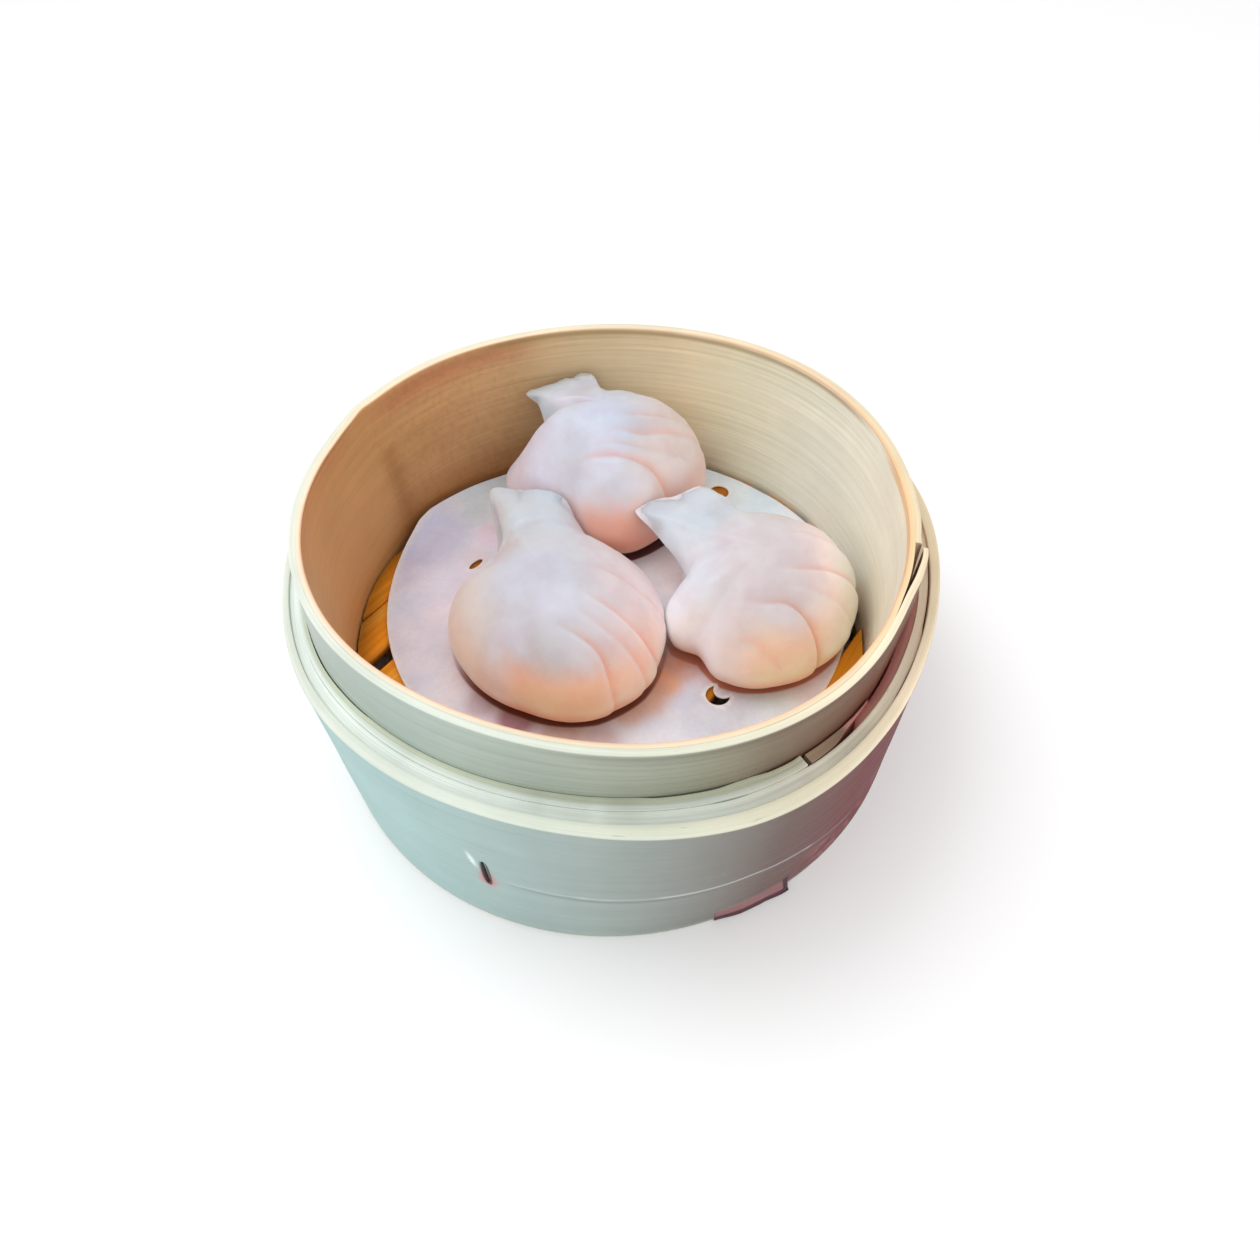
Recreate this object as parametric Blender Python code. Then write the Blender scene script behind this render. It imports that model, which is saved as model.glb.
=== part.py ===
"""Three har gow on a perforated paper round, in the bamboo steamer basket they are served in.

Metres, +Z up. The basket stands on z = 0 with its axis on Z and its front towards -Y.
Sizes below are in millimetres and are turned into metres when a mesh is made.
"""

import math

import bpy
import numpy as np

MM = 0.001

for old in list(bpy.data.objects):
    bpy.data.objects.remove(old)

# ---- Basket heights
COLLAR_TOP = 53.0
HOOP_TOP = 66.9
HOOP_FOOT = 14.4
SLAT_TOP = 21.0
SLAT_FOOT = 18.2
BAR_TOP = 17.9
BAR_FOOT = 14.5

# ---- Basket radii
HOOP_RIM_R = 72.5
HOOP_WALL = 2.8
HOOP_STRIP = 1.15
HOOP_FLARE = 0.7
COLLAR_TOP_R = 79.8
COLLAR_FOOT_R = 78.6
GAP = 0.3

# ---- Hand-bent rings are not true circles: (harmonic, cosine part, sine part)
HOOP_BEND = ((2, 0.19, -0.89), (3, -0.91, 0.22), (4, -0.47, 0.37))
HOOP_SHIFT = (0.10, 1.68)
HOOP_REST = 0.6
# Local bulges and hollows: (angle, push at the rim, push at the collar's top and below)
HOOP_PUSH = (
    (-180, 0.05, 0.0),
    (-165, 0.2, 0.2),
    (-150, 0.3, 0.6),
    (-140, 0.2, 0.2),
    (-130, 0.0, -0.1),
    (-115, -0.1, -0.5),
    (-100, -0.15, -1.0),
    (-85, -0.3, -1.1),
    (-70, -0.65, -1.1),
    (-55, -0.9, -1.3),
    (-42, -1.1, -1.5),
    (-30, -1.1, -1.5),
    (-20, -0.5, -1.1),
    (-8, -0.1, -0.6),
    (20, -0.2, -0.2),
    (45, -0.5, -0.2),
    (65, -0.8, -0.3),
    (112, -0.8, -0.3),
    (130, -0.1, -0.2),
    (151, 0.2, -0.1),
    (162, -0.4, -0.1),
    (172, -0.15, 0.0),
)
COLLAR_PUSH = (
    (-180, 0.0),
    (-145, -0.3),
    (-130, -0.6),
    (-115, -0.4),
    (-102, 0.0),
    (-88, 0.35),
    (-70, 0.3),
    (-60, -0.3),
    (-50, -0.75),
    (-38, -0.5),
    (-22, -0.1),
    (0, 0.0),
)
COLLAR_TOP_BEND = ((1, 0.7, 0.0), (2, -0.3, -0.1), (3, -0.4, 0.25), (4, -0.15, 0.5), (5, 0.4, 0.6))
COLLAR_FOOT_BEND = ((1, 0.6, -0.6), (2, -0.2, 0.15), (3, 0.3, 0.1))

# ---- Hoop joints, in degrees round from +X
LAP_AT = 149.5
LAP_RUN = 40.0
LAP_STEP = 0.75
WRAP_END_AT = -16.5
WRAP_END_RUN = 17.0
WRAP_END_LIFT = 1.7

# ---- Coil strips packed between hoop and collar band, as parts of the way out
COIL_1 = (0.06, 0.29)
COIL_2 = (0.34, 0.61)
BAND_IN = 0.66
COIL_1_FROM = -60.0
COIL_1_TO = -12.0
COIL_DROP = (0.5, 0.9)
TAIL = (0.07, 0.28, 0.12)
TAIL_FROM = -59.2
TAIL_TO = -42.5
TAIL_DROP = 0.9
TAIL_FOOT = 30.0

# ---- Stitch slot in the collar band and the short strip lapped under its foot
SLOT_AT = -111.7
SLOT_Z = (19.2, 30.3)
SLOT_WIDTH = 2.0
SLOT_LEAN = 4.0
PIN_SIZE = (1.0, 2.0, 6.2)
STRIP_FROM = -74.2
STRIP_TO = -59.9
STRIP_TOP = 6.5
STRIP_THICK = 1.3
STRIP_THIN = 0.3

# ---- Floor
SLAT_DIRECTION = 52.0
SLAT_WIDTH = 11.6
SLAT_MIDDLES = (-50.0, -34.0, -18.0, -2.0, 14.0, 30.0, 46.0)
SLAT_SIDES = ((-67.0, -56.3), (56.2, 67.0))
SLAT_REACH = 67.0
SLAT_CLEAR = 0.45
BAR_OFFSETS = (-37.0, 37.0)
BAR_WIDTH = 9.0

# ---- Paper round
PAPER_CENTRE = (1.5, 11.5)
PAPER_R = 64.3
PAPER_LIMIT = 68.6
PAPER_FOOT = 21.25
PAPER_THICK = 0.4
HOLE_RING_CENTRE = (6.4, 14.3)
HOLE_RING_R = 45.0
HOLE_D = 6.2
HOLE_FIRST = 52.0
HOLE_SHIFT = {2: (-1.0, 1.5), 4: (2.7, 0.8)}
LIP = ((100, 0.0), (120, 1.2), (131, 2.4), (142, 3.6), (150, 2.2), (165, 0.6), (180, 0.0))

# ---- Dumplings
REST_Z = PAPER_FOOT + PAPER_THICK + 0.25

RING_STEPS = 60


def wave(theta, bends):
    """Sum of the harmonics of one bent outline at angle theta."""
    return sum(c * np.cos(k * theta) + s * np.sin(k * theta) for k, c, s in bends)


def pushed(theta, rows, field):
    """One field of a table of pushes at angle theta, straight between its rows."""
    angles = [row[0] for row in rows]
    return np.interp(np.degrees(theta), angles, [row[field] for row in rows], period=360.0)


def hoop_shape(theta, z):
    """What the hoop's outline adds to a plain radius at this angle and height."""
    t = np.clip((z - COLLAR_TOP) / (HOOP_TOP - COLLAR_TOP), 0.0, 1.0)
    k = HOOP_REST + (1.0 - HOOP_REST) * t
    shift = HOOP_SHIFT[0] * np.cos(theta) + HOOP_SHIFT[1] * np.sin(theta)
    push = pushed(theta, HOOP_PUSH, 2) * (1.0 - t) + pushed(theta, HOOP_PUSH, 1) * t
    return k * (wave(theta, HOOP_BEND) + shift) + push


def collar_r(theta, z):
    """Outer radius of the collar band."""
    t = np.clip(z / COLLAR_TOP, 0.0, 1.0)
    top = COLLAR_TOP_R + wave(theta, COLLAR_TOP_BEND) + pushed(theta, COLLAR_PUSH, 1)
    foot = COLLAR_FOOT_R + wave(theta, COLLAR_FOOT_BEND)
    return foot + (top - foot) * t


def run_down(theta, start, run):
    """1 at the angle start, falling to 0 over run degrees clockwise (in degrees)."""
    back = (start - np.degrees(theta)) % 360.0
    t = np.clip(1.0 - back / run, 0.0, 1.0)
    return t * t * (3.0 - 2.0 * t)


def hoop_in(theta, z):
    """Inner face of the inner strip, with the step of its lapped end."""
    foot = -0.5 * np.clip((COLLAR_TOP - z) / 32.0, 0.0, 1.0)
    lap = LAP_STEP * run_down(theta, LAP_AT, LAP_RUN)
    return HOOP_RIM_R - HOOP_WALL + foot + hoop_shape(theta, z) - lap


def strip_out(theta, z):
    """Outer face of the inner strip."""
    foot = -0.5 * np.clip((COLLAR_TOP - z) / 32.0, 0.0, 1.0)
    return HOOP_RIM_R - HOOP_WALL + HOOP_STRIP + foot + hoop_shape(theta, z)


def wrap_lift(theta):
    return WRAP_END_LIFT * run_down(theta, WRAP_END_AT, WRAP_END_RUN)


def wrap_in(theta, z):
    """Inner face of the outer strip, whose free end stands off the inner one."""
    return HOOP_RIM_R - HOOP_WALL + HOOP_STRIP + GAP + hoop_shape(theta, z) + wrap_lift(theta)


def wrap_out(theta, z):
    flare = HOOP_FLARE * np.clip((HOOP_TOP - z) / (HOOP_TOP - COLLAR_TOP), 0.0, 1.0)
    return HOOP_RIM_R + flare + hoop_shape(theta, z) + wrap_lift(theta)


def between(theta, z, part):
    """Radius that far of the way from the hoop's outer face to the collar's."""
    inner = HOOP_RIM_R + HOOP_FLARE + hoop_shape(theta, COLLAR_TOP)
    return inner + (collar_r(theta, z) - inner) * part


def mesh_object(name, points, faces, look):
    colour, roughness = look
    mesh = bpy.data.meshes.new(name)
    mesh.from_pydata([tuple(float(v) * MM for v in p) for p in points], [], faces)
    mesh.update()
    made = bpy.data.objects.new(name, mesh)
    bpy.context.scene.collection.objects.link(made)
    material = bpy.data.materials.new(name)
    material.use_nodes = True
    shader = material.node_tree.nodes["Principled BSDF"]
    shader.inputs["Base Color"].default_value = (*colour, 1.0)
    shader.inputs["Roughness"].default_value = roughness
    shader.inputs["Metallic"].default_value = 0.0
    mesh.materials.append(material)
    return made


def ring(name, section, look, start=None, end=None, steps=RING_STEPS):
    """A ring or an open strip: section(theta) lists its (radius, height) corners.

    The corners go clockwise as seen with the radius to the right and height up.
    """
    closed = start is None
    if closed:
        angles = np.radians(np.arange(steps) * 360.0 / steps)
    else:
        angles = np.radians(np.linspace(start, end, steps + 1))
    points = []
    for theta in angles:
        for r, z in section(theta):
            points.append((r * math.cos(theta), r * math.sin(theta), z))
    count = len(section(0.0))
    faces = []
    rows = len(angles)
    for i in range(rows if closed else rows - 1):
        a = i * count
        b = ((i + 1) % rows) * count
        for j in range(count):
            k = (j + 1) % count
            faces.append((a + j, a + k, b + k, b + j))
    if not closed:
        faces.append(tuple(reversed(range(count))))
        last = (rows - 1) * count
        faces.append(tuple(range(last, last + count)))
    return mesh_object(name, points, faces, look)


def plate(name, outline, z0, z1, look):
    """A flat piece: an anticlockwise outline between two heights."""
    n = len(outline)
    points = [(x, y, z0) for x, y in outline] + [(x, y, z1) for x, y in outline]
    faces = [tuple(reversed(range(n))), tuple(range(n, 2 * n))]
    for i in range(n):
        k = (i + 1) % n
        faces.append((i, k, k + n, i + n))
    return mesh_object(name, points, faces, look)


def cut(target, cutter):
    cutter.hide_render = True
    cutter.display_type = "WIRE"
    modifier = target.modifiers.new("cut", "BOOLEAN")
    modifier.operation = "DIFFERENCE"
    modifier.solver = "EXACT"
    modifier.object = cutter


# ---------------------------------------------------------------- basket

HOOP_INNER_LOOK = ((0.52, 0.36, 0.18), 0.55)
HOOP_OUTER_LOOK = ((0.56, 0.55, 0.42), 0.5)
COIL_LOOK = ((0.66, 0.66, 0.54), 0.6)
BAND_LOOK = ((0.50, 0.50, 0.42), 0.48)
PIN_LOOK = ((0.38, 0.16, 0.10), 0.7)
STRIP_LOOK = ((0.22, 0.08, 0.07), 0.6)
SLAT_LOOK = ((0.62, 0.34, 0.08), 0.55)
PAPER_LOOK = ((0.78, 0.75, 0.79), 0.7)
SKIN_LOOK = ((0.80, 0.74, 0.73), 0.25)


def inner_section(theta):
    edge = 0.35
    return (
        (strip_out(theta, HOOP_FOOT), HOOP_FOOT),
        (hoop_in(theta, HOOP_FOOT), HOOP_FOOT),
        (hoop_in(theta, COLLAR_TOP), COLLAR_TOP),
        (hoop_in(theta, HOOP_TOP), HOOP_TOP - edge),
        (hoop_in(theta, HOOP_TOP) + edge, HOOP_TOP),
        (strip_out(theta, HOOP_TOP), HOOP_TOP),
        (strip_out(theta, COLLAR_TOP), COLLAR_TOP),
    )


def outer_section(theta):
    edge = 0.35
    return (
        (wrap_out(theta, HOOP_FOOT), HOOP_FOOT),
        (wrap_in(theta, HOOP_FOOT), HOOP_FOOT),
        (wrap_in(theta, COLLAR_TOP), COLLAR_TOP),
        (wrap_in(theta, HOOP_TOP), HOOP_TOP - 0.15),
        (wrap_out(theta, HOOP_TOP) - edge, HOOP_TOP - 0.15),
        (wrap_out(theta, HOOP_TOP), HOOP_TOP - 0.15 - edge),
        (wrap_out(theta, COLLAR_TOP), COLLAR_TOP),
    )


def coil_section(span, drop):
    def section(theta):
        top = COLLAR_TOP - drop
        return (
            (between(theta, 0.0, span[1]), 0.6),
            (between(theta, 0.0, span[0]), 0.6),
            (between(theta, top, span[0]), top),
            (between(theta, top, span[1]), top),
        )

    return section


def band_section(theta):
    edge = 0.6
    top = COLLAR_TOP
    return (
        (collar_r(theta, 0.0), 0.0),
        (between(theta, 0.0, BAND_IN), 0.0),
        (between(theta, top, BAND_IN), top - 0.2),
        (between(theta, top, BAND_IN) + 0.3, top),
        (collar_r(theta, top) - edge, top),
        (collar_r(theta, top), top - edge),
    )


def strip_section(theta):
    lift = 0.2
    return (
        (collar_r(theta, 0.0) + lift + STRIP_THICK, 0.0),
        (collar_r(theta, 0.0) + lift, 0.0),
        (collar_r(theta, STRIP_TOP) + lift, STRIP_TOP),
        (collar_r(theta, STRIP_TOP) + lift + STRIP_THIN, STRIP_TOP),
    )


def tail_section(theta):
    """The coil's thin last strip, narrowing to its tip."""
    top = COLLAR_TOP - TAIL_DROP
    t = np.clip((np.degrees(theta) - TAIL_FROM) / (TAIL_TO - TAIL_FROM), 0.0, 1.0)
    outer = TAIL[1] + (TAIL[2] - TAIL[1]) * t
    return (
        (between(theta, 0.0, outer), TAIL_FOOT),
        (between(theta, 0.0, TAIL[0]), TAIL_FOOT),
        (between(theta, top, TAIL[0]), top),
        (between(theta, top, outer), top),
    )


ring("hoop_inner", inner_section, HOOP_INNER_LOOK)
ring("hoop_outer", outer_section, HOOP_OUTER_LOOK, WRAP_END_AT - 359.0, WRAP_END_AT)
ring("collar_coil_1", coil_section(COIL_1, COIL_DROP[0]), COIL_LOOK, COIL_1_TO - 360.0, COIL_1_FROM, 62)
ring("collar_coil_2", coil_section(COIL_2, COIL_DROP[1]), COIL_LOOK)
ring("coil_tail", tail_section, COIL_LOOK, TAIL_FROM, TAIL_TO, 8)
band = ring("collar_band", band_section, BAND_LOOK)
ring("base_strip", strip_section, STRIP_LOOK, STRIP_FROM, STRIP_TO, 6)


def upright_box(name, at, radial, across, z, lean, look):
    """A box whose middle is at (angle, radius), leaning sideways by lean degrees."""
    a = math.radians(at[0])
    out = np.array((math.cos(a), math.sin(a), 0.0))
    side = np.array((-math.sin(a), math.cos(a), 0.0))
    up = math.cos(math.radians(lean)) * np.array((0.0, 0.0, 1.0)) - math.sin(math.radians(lean)) * side
    side = math.cos(math.radians(lean)) * side + math.sin(math.radians(lean)) * np.array((0.0, 0.0, 1.0))
    middle = out * at[1] + np.array((0.0, 0.0, (z[0] + z[1]) / 2))
    half = (radial / 2, across / 2, (z[1] - z[0]) / 2)
    points = []
    for k in (-1, 1):
        for p, q in ((-1, -1), (1, -1), (1, 1), (-1, 1)):
            points.append(middle + p * half[0] * out + q * half[1] * side + k * half[2] * up)
    faces = [(3, 2, 1, 0), (4, 5, 6, 7), (0, 1, 5, 4), (1, 2, 6, 5), (2, 3, 7, 6), (3, 0, 4, 7)]
    return mesh_object(name, points, faces, look)


slot_r = float(collar_r(math.radians(SLOT_AT), 26.0))
slot = upright_box("slot_cutter", (SLOT_AT, slot_r), 12.0, SLOT_WIDTH, SLOT_Z, SLOT_LEAN, PIN_LOOK)
cut(band, slot)
pin_foot = SLOT_Z[0] + 0.5
upright_box(
    "collar_pin",
    (SLOT_AT + 0.05, slot_r - 1.2),
    PIN_SIZE[1],
    PIN_SIZE[0],
    (pin_foot, pin_foot + PIN_SIZE[2]),
    SLOT_LEAN,
    PIN_LOOK,
)


def turned(u, v):
    """From along and across the slats to x, y."""
    a = math.radians(SLAT_DIRECTION)
    return (u * math.cos(a) + v * math.sin(a), u * math.sin(a) - v * math.cos(a))


def end_along(v, sign):
    """How far along a line at offset v the hoop's inner face lets a piece run."""
    u = sign * math.sqrt(max(SLAT_REACH**2 - v**2, 1.0))
    for _ in range(12):
        x, y = turned(u, v)
        room = float(hoop_in(math.atan2(y, x), SLAT_TOP)) - SLAT_CLEAR
        u = sign * math.sqrt(max(room**2 - v**2, 1.0))
    return u


def strip_in_hoop(v0, v1, count=5):
    """Anticlockwise outline of a straight strip whose ends follow the hoop."""
    across = np.linspace(v0, v1, count)
    outline = [turned(end_along(v, 1), v) for v in across]
    outline += [turned(end_along(v, -1), v) for v in reversed(across)]
    return outline[::-1]


spans = [SLAT_SIDES[0]]
spans += [(m - SLAT_WIDTH / 2, m + SLAT_WIDTH / 2) for m in SLAT_MIDDLES]
spans += [SLAT_SIDES[1]]
for number, (v0, v1) in enumerate(spans, 1):
    plate(f"slat_{number:02d}", strip_in_hoop(v0, v1), SLAT_FOOT, SLAT_TOP, SLAT_LOOK)


def bar_outline(offset):
    outline = []
    for u, v in (
        (offset - BAR_WIDTH / 2, -1),
        (offset + BAR_WIDTH / 2, -1),
        (offset + BAR_WIDTH / 2, 1),
        (offset - BAR_WIDTH / 2, 1),
    ):
        outline.append(turned(u, v * math.sqrt(SLAT_REACH**2 - (abs(offset) + BAR_WIDTH / 2) ** 2)))
    return outline[::-1]


for number, offset in enumerate(BAR_OFFSETS, 1):
    plate(f"crossbar_{number}", bar_outline(offset), BAR_FOOT, BAR_TOP, SLAT_LOOK)


# ---------------------------------------------------------------- paper


def paper_edge(theta):
    """Distance from the paper's centre to its edge, kept clear of the hoop."""
    c = np.array(PAPER_CENTRE)
    d = np.array((math.cos(theta), math.sin(theta)))
    b = float(c @ d)
    limit = -b + math.sqrt(b * b - float(c @ c) + PAPER_LIMIT**2)
    return min(PAPER_R, limit)


def lip_height(x, y):
    at = math.degrees(math.atan2(y, x))
    lift = float(np.interp(at, [k[0] for k in LIP], [k[1] for k in LIP]))
    near = np.clip((math.hypot(x, y) - 62.0) / 6.6, 0.0, 1.0)
    return lift * near**1.5


def paper():
    steps = 48
    inner = (0.0, 20.0, 40.0, 56.0, 61.0)
    points = []
    for side in (0.0, 1.0):
        points.append((*PAPER_CENTRE, PAPER_FOOT + side * PAPER_THICK))
        for i in range(steps):
            theta = 2 * math.pi * i / steps
            edge = paper_edge(theta)
            for r in inner[1:] + (edge,):
                r = min(r * edge / PAPER_R if r < edge else edge, edge)
                x = PAPER_CENTRE[0] + r * math.cos(theta)
                y = PAPER_CENTRE[1] + r * math.sin(theta)
                points.append((x, y, PAPER_FOOT + side * PAPER_THICK + lip_height(x, y)))
    rows = len(inner)
    block = 1 + steps * rows

    def at(side, i, j):
        return side * block + (0 if j == 0 else 1 + (i % steps) * rows + j - 1)

    faces = []
    for i in range(steps):
        faces.append((at(1, i, 0), at(1, i, 1), at(1, i + 1, 1)))
        faces.append((at(0, i, 0), at(0, i + 1, 1), at(0, i, 1)))
        for j in range(1, rows):
            faces.append((at(1, i, j), at(1, i, j + 1), at(1, i + 1, j + 1), at(1, i + 1, j)))
            faces.append((at(0, i, j), at(0, i + 1, j), at(0, i + 1, j + 1), at(0, i, j + 1)))
        faces.append((at(0, i, rows), at(0, i + 1, rows), at(1, i + 1, rows), at(1, i, rows)))
    return mesh_object("paper_liner", points, faces, PAPER_LOOK)


def hole_centre(number):
    a = math.radians(HOLE_FIRST + 60.0 * number)
    dx, dy = HOLE_SHIFT.get(number, (0.0, 0.0))
    return (
        HOLE_RING_CENTRE[0] + HOLE_RING_R * math.cos(a) + dx,
        HOLE_RING_CENTRE[1] + HOLE_RING_R * math.sin(a) + dy,
    )


liner = paper()
for number in range(6):
    cx, cy = hole_centre(number)
    corners = []
    for k in range(16):
        a = 2 * math.pi * (k + 0.31) / 16
        corners.append((cx + HOLE_D / 2 * math.cos(a), cy + HOLE_D / 2 * math.sin(a)))
    cutter = plate(f"hole_cutter_{number + 1}", corners, PAPER_FOOT - 3.0, PAPER_FOOT + 8.0, PAPER_LOOK)
    cut(liner, cutter)


# ---------------------------------------------------------------- dumplings

# Side view of the plain pouch from the crown, round the widest line, to the middle of its flat
# foot: (part of the radius, part of the height)
POUCH = (
    (0.0, 1.0),
    (0.26, 0.98),
    (0.50, 0.91),
    (0.70, 0.79),
    (0.86, 0.63),
    (0.96, 0.46),
    (1.0, 0.32),
    (0.985, 0.19),
    (0.93, 0.09),
    (0.82, 0.02),
    (0.50, 0.0),
    (0.0, 0.0),
)
FLAP_THICK = 2.0

# How full the pouch's shoulder is, by angle: 1 is the plain side view above
LEFT_FULLNESS = ((0, 0.97), (20, 0.93), (50, 0.92), (75, 0.97), (120, 1.0), (300, 1.0))
BACK_FULLNESS = ((12, 1.05), (50, 1.07), (80, 1.0), (135, 0.9), (150, 0.82), (172, 0.84), (195, 0.94), (230, 1.0), (345, 1.0))

# Each row of an outline: (angle, widest radius, height of that line, how much it is flap)
# Each pleat: the points it runs through from the crown's foot, its depth, its width, and which
# side laps over it (1 is to the left of its run, -1 to the right)
RIGHT = {
    "centre": (40.0, -1.0),
    "height": 27.0,
    "body_r": 24.0,
    "neck": 18.0,
    "neck_height": 24.0,
    "outline": (
        (20, 25.8, 9.0, 0.0),
        (82, 25.5, 11.0, 0.0),
        (100, 25.5, 18.0, 0.4),
        (110, 27.5, 22.0, 0.9),
        (119, 31.5, 22.5, 1.0),
        (132, 34.0, 21.5, 1.0),
        (146, 40.0, 19.5, 1.0),
        (150, 34.0, 18.0, 1.0),
        (156, 25.0, 15.0, 0.7),
        (163, 20.8, 11.5, 0.3),
        (174, 22.2, 9.5, 0.0),
        (193, 27.3, 8.5, 0.0),
        (206, 28.4, 8.0, 0.0),
        (221, 25.3, 7.5, 0.0),
        (240, 28.6, 8.5, 0.0),
        (252, 28.5, 8.5, 0.0),
        (280, 26.6, 8.5, 0.0),
        (312, 24.8, 8.5, 0.0),
        (340, 24.4, 8.5, 0.0),
    ),
    "pleats": (
        (((-2, -7), (6, -6.5), (15, -4.5), (22, -2.5), (28, -1)), 1.5, 2.6, -1),
        (((-14, -13), (-4, -15.5), (2, -15.5), (7, -18), (10.5, -22), (12, -27)), 2.6, 2.3, -1),
        (((-11, -21.5), (-7, -23), (-1, -26)), 0.7, 2.4, -1),
    ),
}
LEFT = {
    "centre": (-15.5, -8.0),
    "fullness": LEFT_FULLNESS,
    "height": 28.5,
    "body_r": 26.0,
    "neck": 18.5,
    "neck_height": 25.3,
    "outline": (
        (10, 28.8, 9.5, 0.0),
        (66, 28.8, 10.5, 0.1),
        (79, 32.0, 17.0, 0.7),
        (87, 36.2, 20.2, 1.0),
        (105, 40.5, 20.0, 1.0),
        (113, 44.0, 18.5, 1.0),
        (117, 37.5, 17.5, 1.0),
        (122, 29.0, 15.0, 0.8),
        (130, 25.0, 12.5, 0.3),
        (146, 24.6, 10.5, 0.0),
        (170, 27.2, 9.5, 0.0),
        (222, 26.0, 8.5, 0.0),
        (250, 26.4, 8.5, 0.0),
        (292, 30.5, 9.0, 0.0),
        (320, 31.0, 9.0, 0.0),
        (344, 29.6, 9.0, 0.0),
    ),
    "pleats": (
        (((6, -5), (13.5, -8.5), (23, -13.5), (28, -16)), 1.4, 2.6, -1),
        (((1, -14.5), (8, -17.5), (12.5, -20.5), (15, -26)), 2.1, 2.4, -1),
        (((-13, -13), (-9, -19), (-5, -25)), 0.3, 3.2, 1),
    ),
}
BACK = {
    "centre": (-1.0, 46.0),
    "fullness": BACK_FULLNESS,
    "height": 37.0,
    "body_r": 21.5,
    "neck": 12.0,
    "neck_height": 34.5,
    "outline": (
        (2, 29.8, 12.0, 0.0),
        (24, 27.3, 14.0, 0.0),
        (50, 22.8, 15.5, 0.0),
        (76, 21.0, 20.0, 0.1),
        (88, 20.8, 27.0, 0.7),
        (99, 21.6, 31.5, 1.0),
        (130, 24.4, 30.0, 1.0),
        (143, 28.0, 28.5, 1.0),
        (147, 22.5, 28.0, 1.0),
        (152, 18.8, 23.0, 0.5),
        (158, 21.5, 16.0, 0.08),
        (170, 28.0, 12.5, 0.0),
        (180, 29.3, 12.0, 0.0),
        (205, 25.5, 11.0, 0.0),
        (224, 22.4, 11.0, 0.0),
        (240, 22.2, 11.0, 0.0),
        (262, 25.3, 11.0, 0.0),
        (284, 27.4, 11.0, 0.0),
        (310, 26.2, 11.0, 0.0),
        (340, 28.2, 11.0, 0.0),
    ),
    "pleats": (
        (((-1, -9), (5, -9.2), (11, -8.8), (18.5, -5), (28, 1)), 1.2, 2.6, -1),
        (((-11, -13), (-3, -15.5), (5, -16.2), (13, -16), (18.5, -19)), 1.8, 2.4, -1),
        (((-5.5, -19.5), (1.5, -23.7), (5, -27)), 0.3, 2.4, -1),
    ),
}


def round_curve(angles, rows, column):
    """Smooth closed curve through one column of an outline's rows."""
    at = np.array([row[0] for row in rows], float)
    value = np.array([row[column] for row in rows], float)
    at = np.concatenate([at[-2:] - 360.0, at, at[:3] + 360.0])
    value = np.concatenate([value[-2:], value, value[:3]])
    slope = np.zeros(len(at))
    for i in range(1, len(at) - 1):
        before = (value[i] - value[i - 1]) / (at[i] - at[i - 1])
        after = (value[i + 1] - value[i]) / (at[i + 1] - at[i])
        if before * after > 0:
            slope[i] = 2 * before * after / (before + after)
    x = np.asarray(angles) % 360.0
    i = np.searchsorted(at, x, side="right") - 1
    h = at[i + 1] - at[i]
    s = (x - at[i]) / h
    return (
        (2 * s**3 - 3 * s**2 + 1) * value[i]
        + (s**3 - 2 * s**2 + s) * h * slope[i]
        + (3 * s**2 - 2 * s**3) * value[i + 1]
        + (s**3 - s**2) * h * slope[i + 1]
    )


def through(control, count, below=None):
    """Catmull-Rom points along a list of control points, count to each span.

    Past the middle of the list the count is below, when it is given.
    """
    control = np.asarray(control, float)
    padded = np.concatenate([[2 * control[0] - control[1]], control, [2 * control[-1] - control[-2]]])
    found = []
    for i in range(len(control) - 1):
        p0, p1, p2, p3 = padded[i : i + 4]
        steps = count if below is None or i <= len(control) // 2 else below
        for k in range(steps):
            s = k / steps
            found.append(
                0.5
                * (
                    2 * p1
                    + (p2 - p0) * s
                    + (2 * p0 - 5 * p1 + 4 * p2 - p3) * s**2
                    + (3 * p1 - p0 - 3 * p2 + p3) * s**3
                )
            )
    found.append(control[-1])
    return np.array(found)


def flap_profile(radius, tip, spec):
    """Side view through the flap: crown, neck, flap, its underside, then the pouch below."""
    height = spec["height"]
    neck = spec["neck"]
    body = spec["body_r"]
    half = FLAP_THICK / 2
    low = spec["neck_height"]
    drop = height - low
    middle = (neck + radius) / 2
    rise = (low * 0.35 + (tip + half) * 0.65) + 0.9
    return (
        (0.0, height),
        (0.30 * neck, low + 0.93 * drop),
        (0.57 * neck, low + 0.73 * drop),
        (0.82 * neck, low + 0.36 * drop),
        (neck, low),
        (middle, rise),
        (radius, tip),
        (middle, rise - FLAP_THICK - 0.2),
        (neck + 1.0, min(low, tip + half) - FLAP_THICK - 1.6),
        (0.95 * body, 0.22 * height),
        (0.62 * body, 0.0),
        (0.0, 0.0),
    )


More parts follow.
